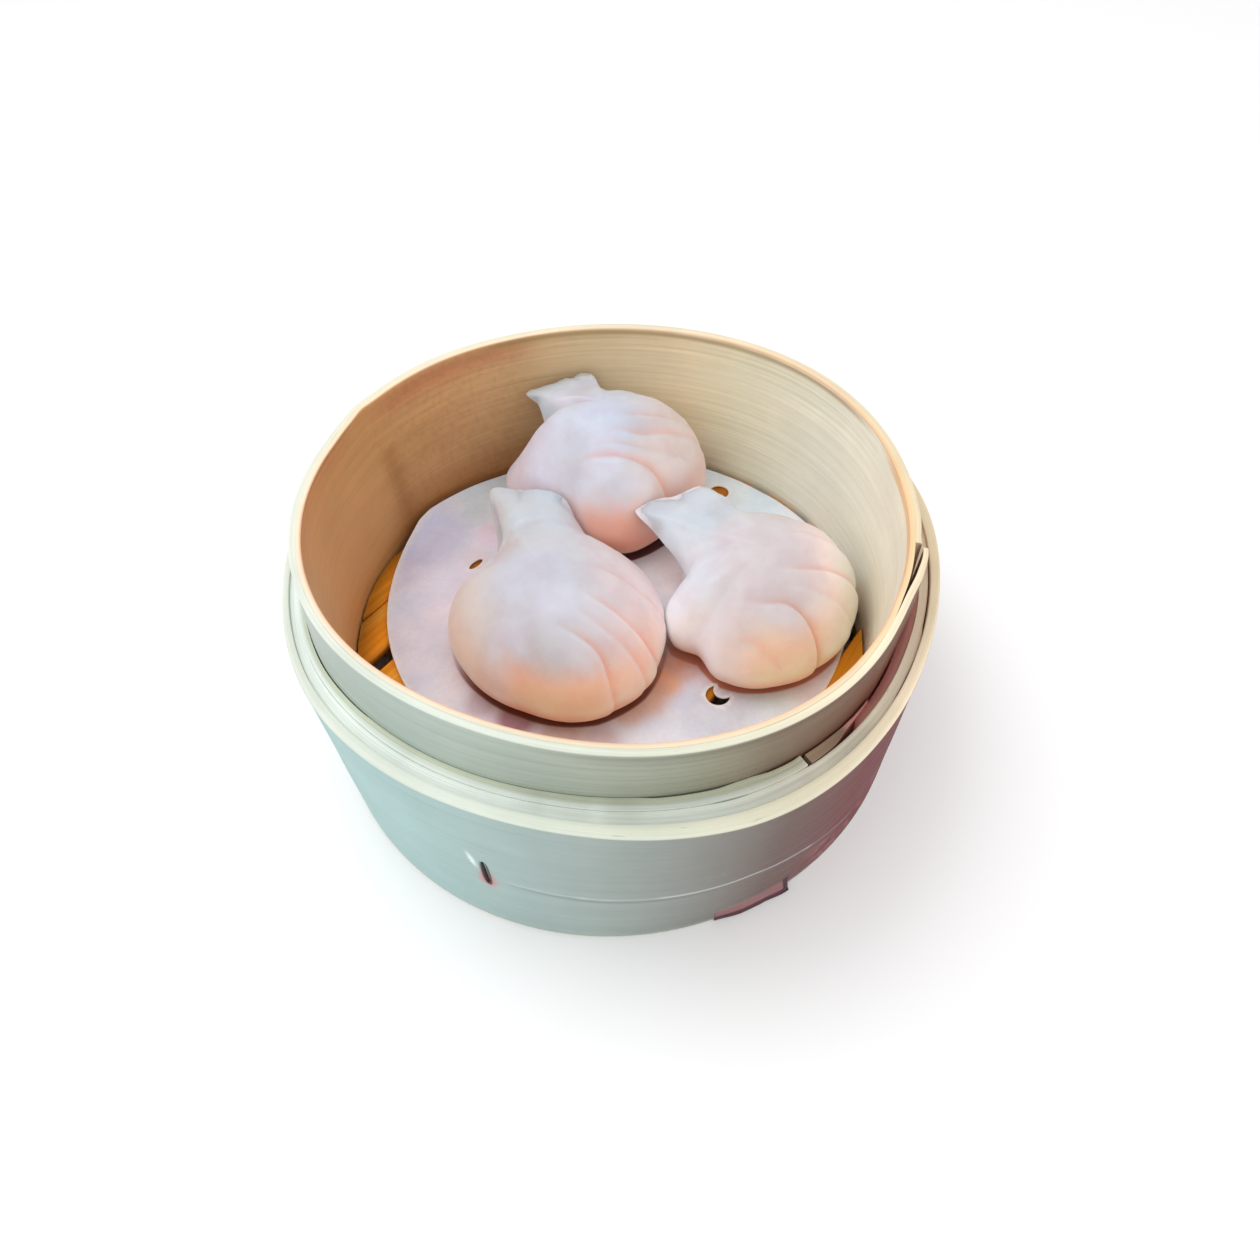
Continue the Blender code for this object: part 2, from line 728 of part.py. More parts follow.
def pleat_depth(x, y, pleats):
    """How far the pleats press in at x, y, from the crown's foot; the lapping side stands out."""
    total = np.zeros_like(x)
    for points, depth, width, lap in pleats:
        line = through(points, 8)
        run = np.gradient(line, axis=0)
        away_x = x[..., None] - line[:, 0]
        away_y = y[..., None] - line[:, 1]
        gap = np.hypot(away_x, away_y)
        nearest = gap.argmin(-1)
        gap = gap.min(-1)
        dx = np.take_along_axis(away_x, nearest[..., None], -1)[..., 0]
        dy = np.take_along_axis(away_y, nearest[..., None], -1)[..., 0]
        side = np.sign(run[nearest, 0] * dy - run[nearest, 1] * dx) * lap
        along = nearest / (len(line) - 1.0)
        strength = np.clip(along / 0.4, 0.0, 1.0)
        strength = strength * strength * (3 - 2 * strength)
        reach = np.where(side > 0, 0.75, 1.5) * width
        total += depth * strength * np.exp(-((gap / reach) ** 2))
        crest = np.exp(-(((gap - 2.3 * width) / (1.5 * width)) ** 2))
        total -= 0.35 * depth * strength * np.where(side > 0, crest, 0.0)
    return total


def shoulder(angles, spec):
    rows = spec.get("fullness", ((0, 1.0), (180, 1.0)))
    return np.interp(angles, [row[0] for row in rows], [row[1] for row in rows], period=360.0)


def filled(part, up, fullness):
    """The pouch's radius at this part of the height, with its shoulder fuller or flatter."""
    t = np.clip((up - 0.3) / 0.3, 0.0, 1.0)
    return part * (1.0 + (fullness - 1.0) * t)


def dumpling_surface(spec, around, above, below):
    """Grid of points (angle by row), from the crown to the middle of the foot."""
    angles = np.arange(around) * 360.0 / around
    radius = round_curve(angles, spec["outline"], 1)
    tip = round_curve(angles, spec["outline"], 2)
    flap = np.clip(round_curve(angles, spec["outline"], 3), 0.0, 1.0)
    rows = []
    for a, r, e, w, full in zip(angles, radius, tip, flap, shoulder(angles, spec)):
        plain = [(filled(q, h, full) * r, h * spec["height"]) for q, h in POUCH]
        eared = flap_profile(r, e, spec)
        mixed = [(p[0] * (1 - w) + f[0] * w, p[1] * (1 - w) + f[1] * w) for p, f in zip(plain, eared)]
        curve = through(mixed, above, below)
        t = math.radians(a)
        rows.append([(q * math.cos(t), q * math.sin(t), h) for q, h in curve])
    grid = np.array(rows)
    grid[:, :, 2] = np.maximum(grid[:, :, 2], 0.0)
    along = np.gradient(grid, axis=1)
    turn = np.roll(grid, -1, 0) - np.roll(grid, 1, 0)
    normal = np.cross(turn, along)
    size = np.linalg.norm(normal, axis=2, keepdims=True)
    normal = -normal / np.maximum(size, 1e-9)
    press = pleat_depth(grid[:, :, 0], grid[:, :, 1], spec["pleats"])
    fade = np.clip((grid[:, :, 2] - 1.0) / 6.0, 0.0, 1.0)
    inner = np.clip(np.hypot(grid[:, :, 0], grid[:, :, 1]) / 6.0, 0.0, 1.0)
    grid -= normal * (press * fade * inner)[:, :, None]
    return grid


def dumpling(name, spec, around=56, above=2, below=1):
    grid = dumpling_surface(spec, around, above, below)
    cx, cy = spec["centre"]
    grid = grid + np.array((cx, cy, REST_Z))
    rows = grid.shape[1]
    points = [tuple(grid[0, 0])]
    for i in range(around):
        points += [tuple(p) for p in grid[i, 1 : rows - 1]]
    points.append(tuple(grid[0, rows - 1]))
    ring_rows = rows - 2
    last = len(points) - 1

    def at(i, j):
        return 1 + (i % around) * ring_rows + j

    faces = []
    for i in range(around):
        faces.append((0, at(i, 0), at(i + 1, 0)))
        faces.append((last, at(i + 1, ring_rows - 1), at(i, ring_rows - 1)))
        for j in range(ring_rows - 1):
            faces.append((at(i, j), at(i, j + 1), at(i + 1, j + 1), at(i + 1, j)))
    return mesh_object(name, points, faces, SKIN_LOOK)


dumpling("dumpling_right", RIGHT)
dumpling("dumpling_left", LEFT)
dumpling("dumpling_back", BACK)
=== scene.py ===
"""Three har gow on a perforated paper round in a bamboo steamer basket: the looks.

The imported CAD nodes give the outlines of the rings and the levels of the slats, and a finer mesh
of the same form replaces each node. Sizes are in millimetres and are turned into metres when a
mesh is made. Angles are in degrees round from +X, seen from above, and theta is the same in
radians. Colours are sRGB, from 0 to 255, until srgb() makes them linear.
"""

import math

import bpy
import numpy as np
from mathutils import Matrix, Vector, geometry


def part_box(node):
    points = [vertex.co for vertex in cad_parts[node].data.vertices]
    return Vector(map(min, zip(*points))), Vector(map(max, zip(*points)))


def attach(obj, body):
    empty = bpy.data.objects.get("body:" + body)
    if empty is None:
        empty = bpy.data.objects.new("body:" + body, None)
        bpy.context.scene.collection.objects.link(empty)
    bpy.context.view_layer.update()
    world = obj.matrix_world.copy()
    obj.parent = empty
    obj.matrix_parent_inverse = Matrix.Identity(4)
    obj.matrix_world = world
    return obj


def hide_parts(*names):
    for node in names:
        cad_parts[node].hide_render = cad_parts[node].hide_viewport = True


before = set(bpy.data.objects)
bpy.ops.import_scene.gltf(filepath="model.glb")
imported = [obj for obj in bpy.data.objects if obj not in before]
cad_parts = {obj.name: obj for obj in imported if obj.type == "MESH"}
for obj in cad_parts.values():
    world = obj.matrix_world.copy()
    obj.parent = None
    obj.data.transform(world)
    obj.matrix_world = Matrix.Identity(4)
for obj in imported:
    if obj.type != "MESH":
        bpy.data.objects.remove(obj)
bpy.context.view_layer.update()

MM = 0.001

# ---------------------------------------------------------------- camera

SENSOR_WIDTH = 36.0
LENS = 24.29
CAMERA_AT = (0.0, -0.14938, 0.19997)
CAMERA_TURN = (39.136, 0.310, -2.120)
CLIP_START = 0.01


def add_object(name, data):
    made = bpy.data.objects.new(name, data)
    bpy.context.scene.collection.objects.link(made)
    return made


def place_camera():
    data = bpy.data.cameras.new("camera")
    data.sensor_width = SENSOR_WIDTH
    data.lens = LENS
    data.clip_start = CLIP_START
    camera = add_object("camera", data)
    camera.location = CAMERA_AT
    camera.rotation_euler = [math.radians(a) for a in CAMERA_TURN]
    bpy.context.scene.camera = camera


place_camera()

# ---------------------------------------------------------------- numbers and noise


def srgb(r, g, b):
    """Linear colour of an sRGB one."""
    c = np.array((r, g, b), float) / 255.0
    return np.where(c <= 0.04045, c / 12.92, ((c + 0.055) / 1.055) ** 2.4)


def smooth(t):
    """0 to 1 as t goes from 0 to 1, eased at both ends and flat beyond them."""
    t = np.clip(t, 0.0, 1.0)
    return t * t * (3.0 - 2.0 * t)


def bell(x, width):
    """1 where x is 0, falling to almost nothing two widths to either side."""
    return np.exp(-((x / width) ** 2))


def off(angle, at):
    """How far round an angle is from another, from -180 to 180."""
    return (angle - at + 180.0) % 360.0 - 180.0


def window(angle, start, end, soft):
    """1 between two angles round the basket, with ends this soft."""
    return smooth((angle - start) / soft + 0.5) * smooth((end - angle) / soft + 0.5)


def between(x, rows, period=None):
    """Straight-line value at x from rows that start with (x, value)."""
    return np.interp(x, [row[0] for row in rows], [row[1] for row in rows], period=period)


def hermite(s, start, start_slope, end, end_slope):
    """Cubic from start to end as s goes from 0 to 1, with a slope at each end."""
    return (
        (2 * s**3 - 3 * s**2 + 1) * start
        + (s**3 - 2 * s**2 + s) * start_slope
        + (3 * s**2 - 2 * s**3) * end
        + (s**3 - s**2) * end_slope
    )


def wrapped(at, value):
    """Angles and values of a closed curve, with two more points before them and three after."""
    at = np.concatenate([at[-2:] - 360.0, at, at[:3] + 360.0])
    return at, np.concatenate([value[-2:], value, value[:3]])


LATTICE = np.random.default_rng(7).random((256, 256)) * 2.0 - 1.0


def value_noise(u, v):
    """Smooth noise from -1 to 1 on a unit lattice that repeats every 256 units."""
    u, v = np.broadcast_arrays(np.asarray(u, float), np.asarray(v, float))
    i, j = np.floor(u).astype(int), np.floor(v).astype(int)
    s, t = smooth(u - i), smooth(v - j)
    a = LATTICE[i % 256, j % 256]
    b = LATTICE[(i + 1) % 256, j % 256]
    c = LATTICE[i % 256, (j + 1) % 256]
    d = LATTICE[(i + 1) % 256, (j + 1) % 256]
    return (a * (1 - s) + b * s) * (1 - t) + (c * (1 - s) + d * s) * t


def drift(u, v, octaves=3):
    """Fractal sum of value_noise, about -1 to 1."""
    total, weight = 0.0, 0.0
    for k in range(octaves):
        part = 0.5**k
        total = total + part * value_noise(u * 2**k + 17.3 * k, v * 2**k + 5.1 * k)
        weight += part
    return total / weight


def round_noise(theta, v, lobes, octaves=3):
    """Noise that closes on itself round the basket: lobes is about how many swings fit round it."""
    k = lobes / (2 * math.pi)
    one = drift(k * np.cos(theta) + 40.0, v + k * np.sin(theta), octaves)
    other = drift(k * np.sin(theta) + 90.0, v - k * np.cos(theta), octaves)
    return 0.5 * (one + other) * 1.4


# ---------------------------------------------------------------- reading the CAD rings

# Points of a ring are on one level when they are this near it, and at one corner when they are
# no more than so many degrees apart
SAME_LEVEL = 0.04
SAME_CORNER = 0.3


def angle_of(points):
    return np.degrees(np.arctan2(points[:, 1], points[:, 0]))


def radius_of(points):
    return np.hypot(points[:, 0], points[:, 1])


def cad_points(node):
    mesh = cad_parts[node].data
    flat = np.empty(len(mesh.vertices) * 3, np.float32)
    mesh.vertices.foreach_get("co", flat)
    return flat.reshape(-1, 3).astype(float) / MM


def outline(node, z, outer):
    """(angles, radii) of one level of a CAD ring: its outer or its inner corners at height z."""
    points = cad_points(node)
    points = points[np.abs(points[:, 2] - z) < SAME_LEVEL]
    angle, radius = angle_of(points) % 360.0, radius_of(points)
    order = np.argsort(angle)
    angle, radius = angle[order], radius[order]
    starts = np.flatnonzero(np.diff(angle, prepend=-9.0) > SAME_CORNER)
    pick = np.maximum if outer else np.minimum
    return angle[starts], pick.reduceat(radius, starts)


def radius_at(level, theta):
    """Catmull-Rom radius of an outline at angles theta."""
    at, value = wrapped(*level)
    x = np.degrees(theta) % 360.0
    i = np.clip(np.searchsorted(at, x, side="right") - 1, 1, len(at) - 3)
    h = at[i + 1] - at[i]
    before = (value[i + 1] - value[i - 1]) / (at[i + 1] - at[i - 1]) * h
    after = (value[i + 2] - value[i]) / (at[i + 2] - at[i]) * h
    return hermite((x - at[i]) / h, value[i], before, value[i + 1], after)


def levels_of(node, heights, outer):
    """((height, outline), ...) of a ring at some heights, lowest first."""
    return [(z, outline(node, z, outer)) for z in heights]


def column(levels, theta, z):
    """Radius of a ring at height z, between the two levels about it."""
    heights = [level[0] for level in levels]
    i = int(np.clip(np.searchsorted(heights, z) - 1, 0, len(heights) - 2))
    t = (z - heights[i]) / (heights[i + 1] - heights[i])
    return radius_at(levels[i][1], theta) * (1 - t) + radius_at(levels[i + 1][1], theta) * t


def top_of(node):
    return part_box(node)[1].z / MM


def foot_of(node):
    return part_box(node)[0].z / MM


# ---------------------------------------------------------------- meshes

SHARP_ANGLE = 50
GRAIN_R = 72
STEP_HALF = 0.02


def piece(name, points, faces, node, look, tone, grain=None):
    """A shaded mesh piece that rides on the root body and stands for a CAD node.

    tone is the colour painted on it, and grain gives the look its way along the fibres.
    """
    mesh = bpy.data.meshes.new(name)
    mesh.from_pydata((np.asarray(points) * MM).tolist(), [], faces)
    for key, values in (("grain", grain), ("tone", tone)):
        if values is not None:
            painted = mesh.attributes.new(key, "FLOAT_VECTOR", "POINT")
            painted.data.foreach_set("vector", np.asarray(values, np.float32).ravel())
    mesh.validate()
    mesh.shade_smooth()
    mesh.set_sharp_from_angle(angle=math.radians(SHARP_ANGLE))
    mesh.materials.append(look)
    made = add_object(name, mesh)
    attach(made, "root")
    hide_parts(node)


def tube_faces(rows, count, closed=False):
    """Quads between rows of count points each, and flat ends unless the last row meets the first."""
    faces = []
    for i in range(rows if closed else rows - 1):
        a, b = i * count, ((i + 1) % rows) * count
        for j in range(count):
            k = (j + 1) % count
            faces.append((a + j, a + k, b + k, b + j))
    if not closed:
        faces.append(tuple(range(count - 1, -1, -1)))
        faces.append(tuple(range((rows - 1) * count, rows * count)))
    return faces


def swept(theta, corners, closed):
    """Points, faces and grain of a profile swept round the basket.

    corners is a list of (radius, height) arrays over theta, clockwise with the radius to the
    right and height up. The grain vector follows the strip: round it, and across it.
    """
    r = np.array([np.broadcast_to(c[0], theta.shape) for c in corners]).T
    z = np.array([np.broadcast_to(c[1], theta.shape) for c in corners]).T
    cos, sin = np.cos(theta)[:, None], np.sin(theta)[:, None]
    points = np.stack([r * cos, r * sin, z], -1)
    step = np.hypot(np.diff(r, axis=1), np.diff(z, axis=1)).mean(0)
    across = np.concatenate([[0.0], np.cumsum(step)])
    grain = np.stack([GRAIN_R * cos + 0 * r, GRAIN_R * sin + 0 * r, across[None, :] + 0 * r], -1) * MM
    return points.reshape(-1, 3), tube_faces(*r.shape, closed), grain.reshape(-1, 3)


def round_angles(steps, *extra):
    """Even theta round the basket, plus a close pair at each angle where a strip's end steps."""
    angles = set(np.arange(steps) * 360.0 / steps)
    for a in extra:
        angles |= {(a - STEP_HALF) % 360.0, (a + STEP_HALF) % 360.0}
    return np.radians(np.array(sorted(angles)))


def run_down(theta, start, run):
    """1 at the angle start, falling to 0 over run degrees clockwise."""
    back = (start - np.degrees(theta)) % 360.0
    return smooth(1.0 - back / run)


# ---------------------------------------------------------------- materials


class Look:
    """A Principled material and short ways to add nodes to it."""

    def __init__(self, name, **sockets):
        self.material = bpy.data.materials.new(name)
        self.material.use_nodes = True
        self.tree = self.material.node_tree
        self.shader = self.tree.nodes["Principled BSDF"]
        for key, value in sockets.items():
            self.shader.inputs[key.replace("_", " ")].default_value = value

    def link(self, source, socket):
        """Join a node's output to a socket, or set the socket to a number, vector or colour."""
        if hasattr(source, "is_output"):
            self.tree.links.new(source, socket)
        elif socket.type == "RGBA":
            socket.default_value = (*[float(c) for c in source], 1.0)
        else:
            socket.default_value = source

    def node(self, kind, output, sockets, **settings):
        """One output of a new node, with its settings made first and then its sockets."""
        made = self.tree.nodes.new("ShaderNode" + kind)
        for key, value in settings.items():
            setattr(made, key, value)
        for key, source in sockets.items():
            self.link(source, made.inputs[key])
        return made.outputs[output]

    def attribute(self, name, output):
        return self.node("Attribute", output, {}, attribute_name=name)

    def place(self):
        return self.node("TexCoord", "Object", {})

    def stretched(self, vector, scale):
        return self.node("VectorMath", 0, {0: vector, 1: scale}, operation="MULTIPLY")

    def noise(self, vector, scale=1.0, detail=3.0, roughness=0.5):
        sockets = {"Vector": vector, "Scale": scale, "Detail": detail, "Roughness": roughness}
        return self.node("TexNoise", "Fac", sockets)

    def spread(self, value, low, high, to_low=0.0, to_high=1.0):
        """A value's range from low to high, eased onto another range."""
        sockets = {"Value": value, "From Min": low, "From Max": high, "To Min": to_low, "To Max": to_high}
        return self.node("MapRange", "Result", sockets, interpolation_type="SMOOTHSTEP")

    def maths(self, operation, a, b):
        return self.node("Math", 0, {0: a, 1: b}, operation=operation)

    def mix(self, factor, a, b, blend="MIX"):
        sockets = {"Factor": factor, "A": a, "B": b}
        return self.node("Mix", "Result", sockets, data_type="RGBA", blend_type=blend)

    def shaded(self, colour, value):
        """A colour multiplied by a number."""
        grey = self.node("CombineColor", 0, {"Red": value, "Green": value, "Blue": value})
        return self.mix(1.0, colour, grey, "MULTIPLY")

    def finish(self, colour, roughness, height, distance, strength):
        """The material, with a bump of this height, distance and strength."""
        bump = self.node("Bump", "Normal", {"Height": height, "Distance": distance, "Strength": strength})
        for key, source in (("Base Color", colour), ("Roughness", roughness), ("Normal", bump)):
            self.link(source, self.shader.inputs[key])
        return self.material


# How fine the bamboo's wide bands, fine fibres and dark ticks are across the strip, per metre
BANDS, FIBRES, TICKS = 900.0, 5200.0, 3600.0
TICKS_ALONG = 160.0


def bamboo(name, streak, fibre, dark, along, stains=0.0, roughness=0.5, shine=0.35):
    """Split bamboo: bands, fibres, ticks and blots over the tone painted on the mesh.

    streak and fibre are how strong the bands and the fibres are, and along is how soon they
    change along the strip. dark is the colour of the ticks and of the stains.
    """
    look = Look(name, Specular_IOR_Level=shine)
    grain = look.attribute("grain", "Vector")
    bands = look.noise(look.stretched(grain, (along, along, BANDS)), detail=5.0, roughness=0.62)
    fine = look.noise(look.stretched(grain, (along * 2.5, along * 2.5, FIBRES)), roughness=0.6)
    ticks = look.noise(look.stretched(grain, (TICKS_ALONG, TICKS_ALONG, TICKS)), detail=2.0)
    blots = look.noise(look.place(), scale=38.0, detail=4.0, roughness=0.55)
    shade = look.spread(bands, 0.30, 0.70, 1.0 - streak, 1.0 + streak * 0.55)
    shade = look.maths("MULTIPLY", shade, look.spread(fine, 0.3, 0.7, 1.0 - fibre, 1.0 + fibre))
    shade = look.maths("MULTIPLY", shade, look.spread(blots, 0.25, 0.75, 0.94, 1.05))
    colour = look.shaded(look.attribute("tone", "Color"), shade)
    colour = look.mix(look.spread(ticks, 0.70, 0.80, 0.0, 0.35), colour, srgb(*dark))
    if stains:
        colour = look.mix(look.spread(blots, 0.55, 0.75, 0.0, stains), colour, srgb(*dark))
    rough = look.spread(bands, 0.3, 0.7, roughness - 0.07, roughness + 0.10)
    height = look.maths("ADD", bands, look.maths("MULTIPLY", fine, 0.5))
    return look.finish(colour, rough, height, 0.00022, 0.55)


def paper_look():
    """Damp paper that lets a little light through, with pulp and bluish clouds."""
    look = Look("steamed_paper", Subsurface_Weight=0.25, Subsurface_Scale=0.0015,
                Subsurface_Radius=(1.0, 0.8, 0.7), Specular_IOR_Level=0.45)
    place = look.place()
    cloud = look.noise(place, scale=45.0)
    pulp = look.noise(place, scale=900.0, detail=4.0, roughness=0.65)
    damp = look.noise(place, scale=120.0, roughness=0.6)
    tone = look.attribute("tone", "Color")
    blue = look.mix(1.0, tone, srgb(240, 247, 255), "MULTIPLY")
    colour = look.mix(look.spread(cloud, 0.35, 0.68), tone, blue)
    shade = look.maths("MULTIPLY", look.spread(pulp, 0.3, 0.7, 0.965, 1.02),
                       look.spread(damp, 0.3, 0.7, 0.95, 1.03))
    rough = look.spread(damp, 0.3, 0.7, 0.38, 0.62)
    return look.finish(look.shaded(colour, shade), rough, look.maths("ADD", damp, pulp), 0.00025, 0.5)


def skin_look():
    """Moist translucent wheat-starch skin."""
    look = Look("starch_skin", Subsurface_Weight=0.6, Subsurface_Scale=0.0035,
                Subsurface_Radius=(1.0, 0.6, 0.45), Coat_Weight=0.2, Coat_Roughness=0.22,
                Sheen_Weight=0.05, Sheen_Roughness=0.45, IOR=1.40, Specular_IOR_Level=0.35)
    place = look.place()
    cloud = look.noise(place, scale=110.0, detail=4.0, roughness=0.55)
    mottle = look.noise(place, scale=420.0, detail=2.0)
    swell = look.noise(place, scale=150.0, detail=2.0)
    tone = look.attribute("tone", "Color")
    clear = look.mix(1.0, tone, srgb(250, 244, 244), "MULTIPLY")
    colour = look.mix(look.spread(cloud, 0.38, 0.66), tone, clear)
    return look.finish(colour, look.spread(mottle, 0.3, 0.7, 0.34, 0.5), swell, 0.0005, 0.3)


# ---------------------------------------------------------------- colour by place


def blend_stops(x, stops, closed=True):
    """Colour at x between (x, colour) stops, all the way round unless told not."""
    at = [s[0] for s in stops]
    colours = [srgb(*s[1]) for s in stops]
    x = np.asarray(x, float)
    if closed:
        x = (x - at[0]) % 360.0 + at[0]
        at = at + [at[0] + 360.0]
        colours = colours + [colours[0]]
    return np.stack([np.interp(x, at, [c[k] for c in colours]) for k in range(3)], -1)


def mix(a, b, weight):
    """Between two colours or two lots of them, with one weight a point."""
    weight = np.asarray(weight, float)[..., None]
    return np.asarray(a) * (1.0 - weight) + np.asarray(b) * weight


def washed(tone, *washes):
    """A tone with each (colour, weight) laid over it in turn."""
    for colour, weight in washes:
        tone = mix(tone, srgb(*colour), weight)
    return tone


# Colours round the basket, as (angle, colour)
CUT_CREAM = ((-170, (222, 226, 214)), (-110, (216, 224, 212)), (-85, (214, 218, 200)), (-60, (228, 220, 194)),
             (-40, (254, 236, 206)), (-10, (226, 208, 174)), (60, (226, 212, 184)), (130, (224, 216, 192)))
RIM_CUT = ((-150, (234, 222, 200)), (-95, (228, 214, 188)), (-60, (230, 212, 180)), (-20, (236, 208, 160)),
           (10, (232, 208, 164)), (90, (232, 218, 192)), (150, (236, 220, 190)), (172, (234, 222, 196)))
# Painted light and shade on the band's face: pale blue-green where the light falls on the left, purple-brown
# in painted shade on the right.
OUTER_FACE_SHADED = ((-170, (172, 200, 197)), (-125, (171, 200, 198)), (-95, (160, 173, 169)),
              (-80, (140, 142, 137)), (-66, (115, 98, 93)), (-50, (118, 66, 68)), (-25, (114, 60, 66)),
              (10, (132, 90, 86)), (60, (150, 124, 106)), (120, (152, 154, 140)))
# Painted light and shade on the outer hoop strip: pale grey-green where the light falls on the left, brown in
# painted shade on the right.
HOOP_FACE_SHADED = ((-170, (184, 194, 184)), (-125, (176, 190, 182)), (-95, (172, 180, 166)), (-80, (156, 158, 140)),
             (-66, (134, 118, 100)), (-45, (116, 76, 60)), (-15, (122, 84, 70)), (50, (150, 130, 100)),
             (120, (178, 176, 154)))
# Painted light and shade on the inner wall: warm brown in painted shade on the left, pale straw where painted
# light falls on the right.
WALL_FACE_SHADED = ((-150, (206, 166, 122)), (-90, (215, 195, 160)), (-30, (242, 236, 216)), (10, (245, 243, 226)),
             (35, (243, 243, 224)), (55, (240, 236, 208)), (70, (240, 224, 190)), (92, (226, 204, 166)),
             (112, (206, 168, 122)), (130, (204, 156, 108)), (150, (202, 152, 98)), (178, (210, 156, 102)))
COIL_CUT = ((-170, (232, 238, 232)), (-140, (230, 238, 230)), (-110, (222, 230, 222)), (-75, (208, 214, 204)),
            (-45, (230, 220, 196)), (-20, (234, 212, 182)), (40, (228, 212, 184)), (120, (226, 220, 196)))
# Painted light and shade on the coil strips' faces: grey-green on the lit left, and on the right a pink
# lighter than the bamboo where the faces lie in the gap's shade.
COIL_FACE_SHADED = ((-170, (206, 214, 202)), (-110, (196, 204, 188)), (-70, (180, 184, 168)),
             (-52, (196, 140, 128)), (-35, (230, 160, 152)), (-20, (240, 170, 160)),
             (0, (216, 172, 150)), (60, (196, 180, 150)), (130, (206, 208, 190)))

BAND_TOP = top_of("collar_band")
RIM_TOP = top_of("hoop_inner")
HOOP_FOOT = foot_of("hoop_inner")

# ---------------------------------------------------------------- hoop

RING_STEPS = 720
LAP_AT = 149.5
LAP_RUN = 40.0
LAP_STEP = 0.05
KINK_AT = 151.0
KINK_OUT = 0.45
KINK_WIDTH = 2.6
STRIP_THICK = 1.15
EASE = 0.35
RIM_SHUT = 0.145

STRIP_LEVELS = levels_of("hoop_inner", (HOOP_FOOT, BAND_TOP, RIM_TOP), True)
WRAP_LEVELS = levels_of("hoop_outer", (HOOP_FOOT, BAND_TOP, RIM_TOP - 0.5), True)
WRAP_IN_LEVELS = levels_of("hoop_outer", (HOOP_FOOT, BAND_TOP, RIM_TOP - 0.15), False)


def kink(theta):
    """The hoop's small outward bend where its inner strip laps over itself."""
    return KINK_OUT * bell(off(np.degrees(theta), KINK_AT), KINK_WIDTH)


def wall_at(theta, z):
    """Radius of the hoop's plain inner face, without its bend and ridges."""
    return column(STRIP_LEVELS, theta, z) - STRIP_THICK - LAP_STEP * run_down(theta, LAP_AT, LAP_RUN)


def wall_relief(theta, z):
    """Fine ridges and hollows of a shaved strip, in millimetres."""
    lean = z + 2.2 * np.sin(theta * 2.0 + 0.6)
    long = round_noise(theta, lean * 0.25, 4.0, 2) * 0.08
    fibres = round_noise(theta, lean * 2.6, 8.0, 2) * 0.03
    near_rim = smooth((z - 52.0) / 10.0) * smooth(np.cos(theta - math.radians(65)) * 1.4)
    return long + fibres * (0.4 + 1.6 * near_rim)


# Fine lines of the inner wall: how far below the rim, width, start and end angle, strength
WALL_LINES = (
    (3.3, 0.28, 28, 112, 0.7), (4.5, 0.22, 14, 104, 0.6), (5.6, 0.25, 20, 96, 0.5),
    (6.9, 0.22, 26, 100, 0.45), (8.6, 0.3, 30, 66, 0.35), (11.0, 0.3, 84, 118, 0.3),
    (14.5, 0.3, 100, 122, 0.35), (19.0, 0.35, 104, 126, 0.4), (21.5, 0.3, 108, 128, 0.4),
)


def wall_tone(angle, z):
    """Warm brown in painted shade on the left, tan at the back, pale straw in painted light on the right, a
    painted shadow of the back dumpling, and lines below the rim.
    """
    theta = np.radians(angle)
    tone = blend_stops(angle, WALL_FACE_SHADED)
    cloud = round_noise(theta, z * 0.05 + 31.0, 7.0)
    tone = mix(tone, tone * np.array((1.10, 1.06, 1.02)), smooth(cloud))
    tone = mix(tone, tone * np.array((0.90, 0.86, 0.80)), smooth(-cloud))
    down = RIM_TOP - z
    left = window(angle, 110, 148, 16)
    tone = washed(
        tone,
        ((186, 112, 78), 0.55 * left * bell(down - 3.5, 3.2)),
        ((166, 102, 46), 0.55 * window(angle, 102, 152, 16) * smooth((38.0 - z) / 14.0)),
        ((190, 114, 76), 0.35 * window(angle, 158, 200, 12) * bell(down, 6.0)),
        # painted shadow of the back dumpling on the wall behind it
        ((150, 100, 52), 0.5 * window(angle, 60, 96, 14) * smooth((34.0 - z) / 12.0)),
        ((238, 196, 140), 0.85 * window(angle, -34, 8, 14) * smooth((3.2 - down) / 0.8)),
        ((160, 130, 82), 0.75 * window(angle, 22, 118, 14) * bell(down - 1.5, 0.8)),
    )
    for at, width, start, end, weight in WALL_LINES:
        line = at + 0.25 * np.sin(theta * 5.0 + at)
        near = bell(down - line, width) * window(angle, start, end, 10)
        tone = mix(tone, tone * np.array((0.80, 0.76, 0.68)), weight * near)
    dabs = value_noise(angle * 1.3, z * 0.8 + 5.0)
    tone = mix(tone, tone * np.array((0.86, 0.82, 0.76)), 0.5 * left * smooth(dabs * 1.4))
    seam = bell(angle - 147.5 - 0.03 * (z - 40.0) + 0.5 * dabs, 2.6) * smooth((56.0 - z) / 8.0)
    return mix(tone, srgb(146, 90, 50), 0.38 * seam)


def edged(angle, z, top, face):
    """The colours of a strip's face, with its pale cut edge along the top."""
    cut_edge = smooth((z - (top - 0.75)) / 0.3)
    return mix(blend_stops(angle, face), blend_stops(angle, CUT_CREAM), cut_edge)


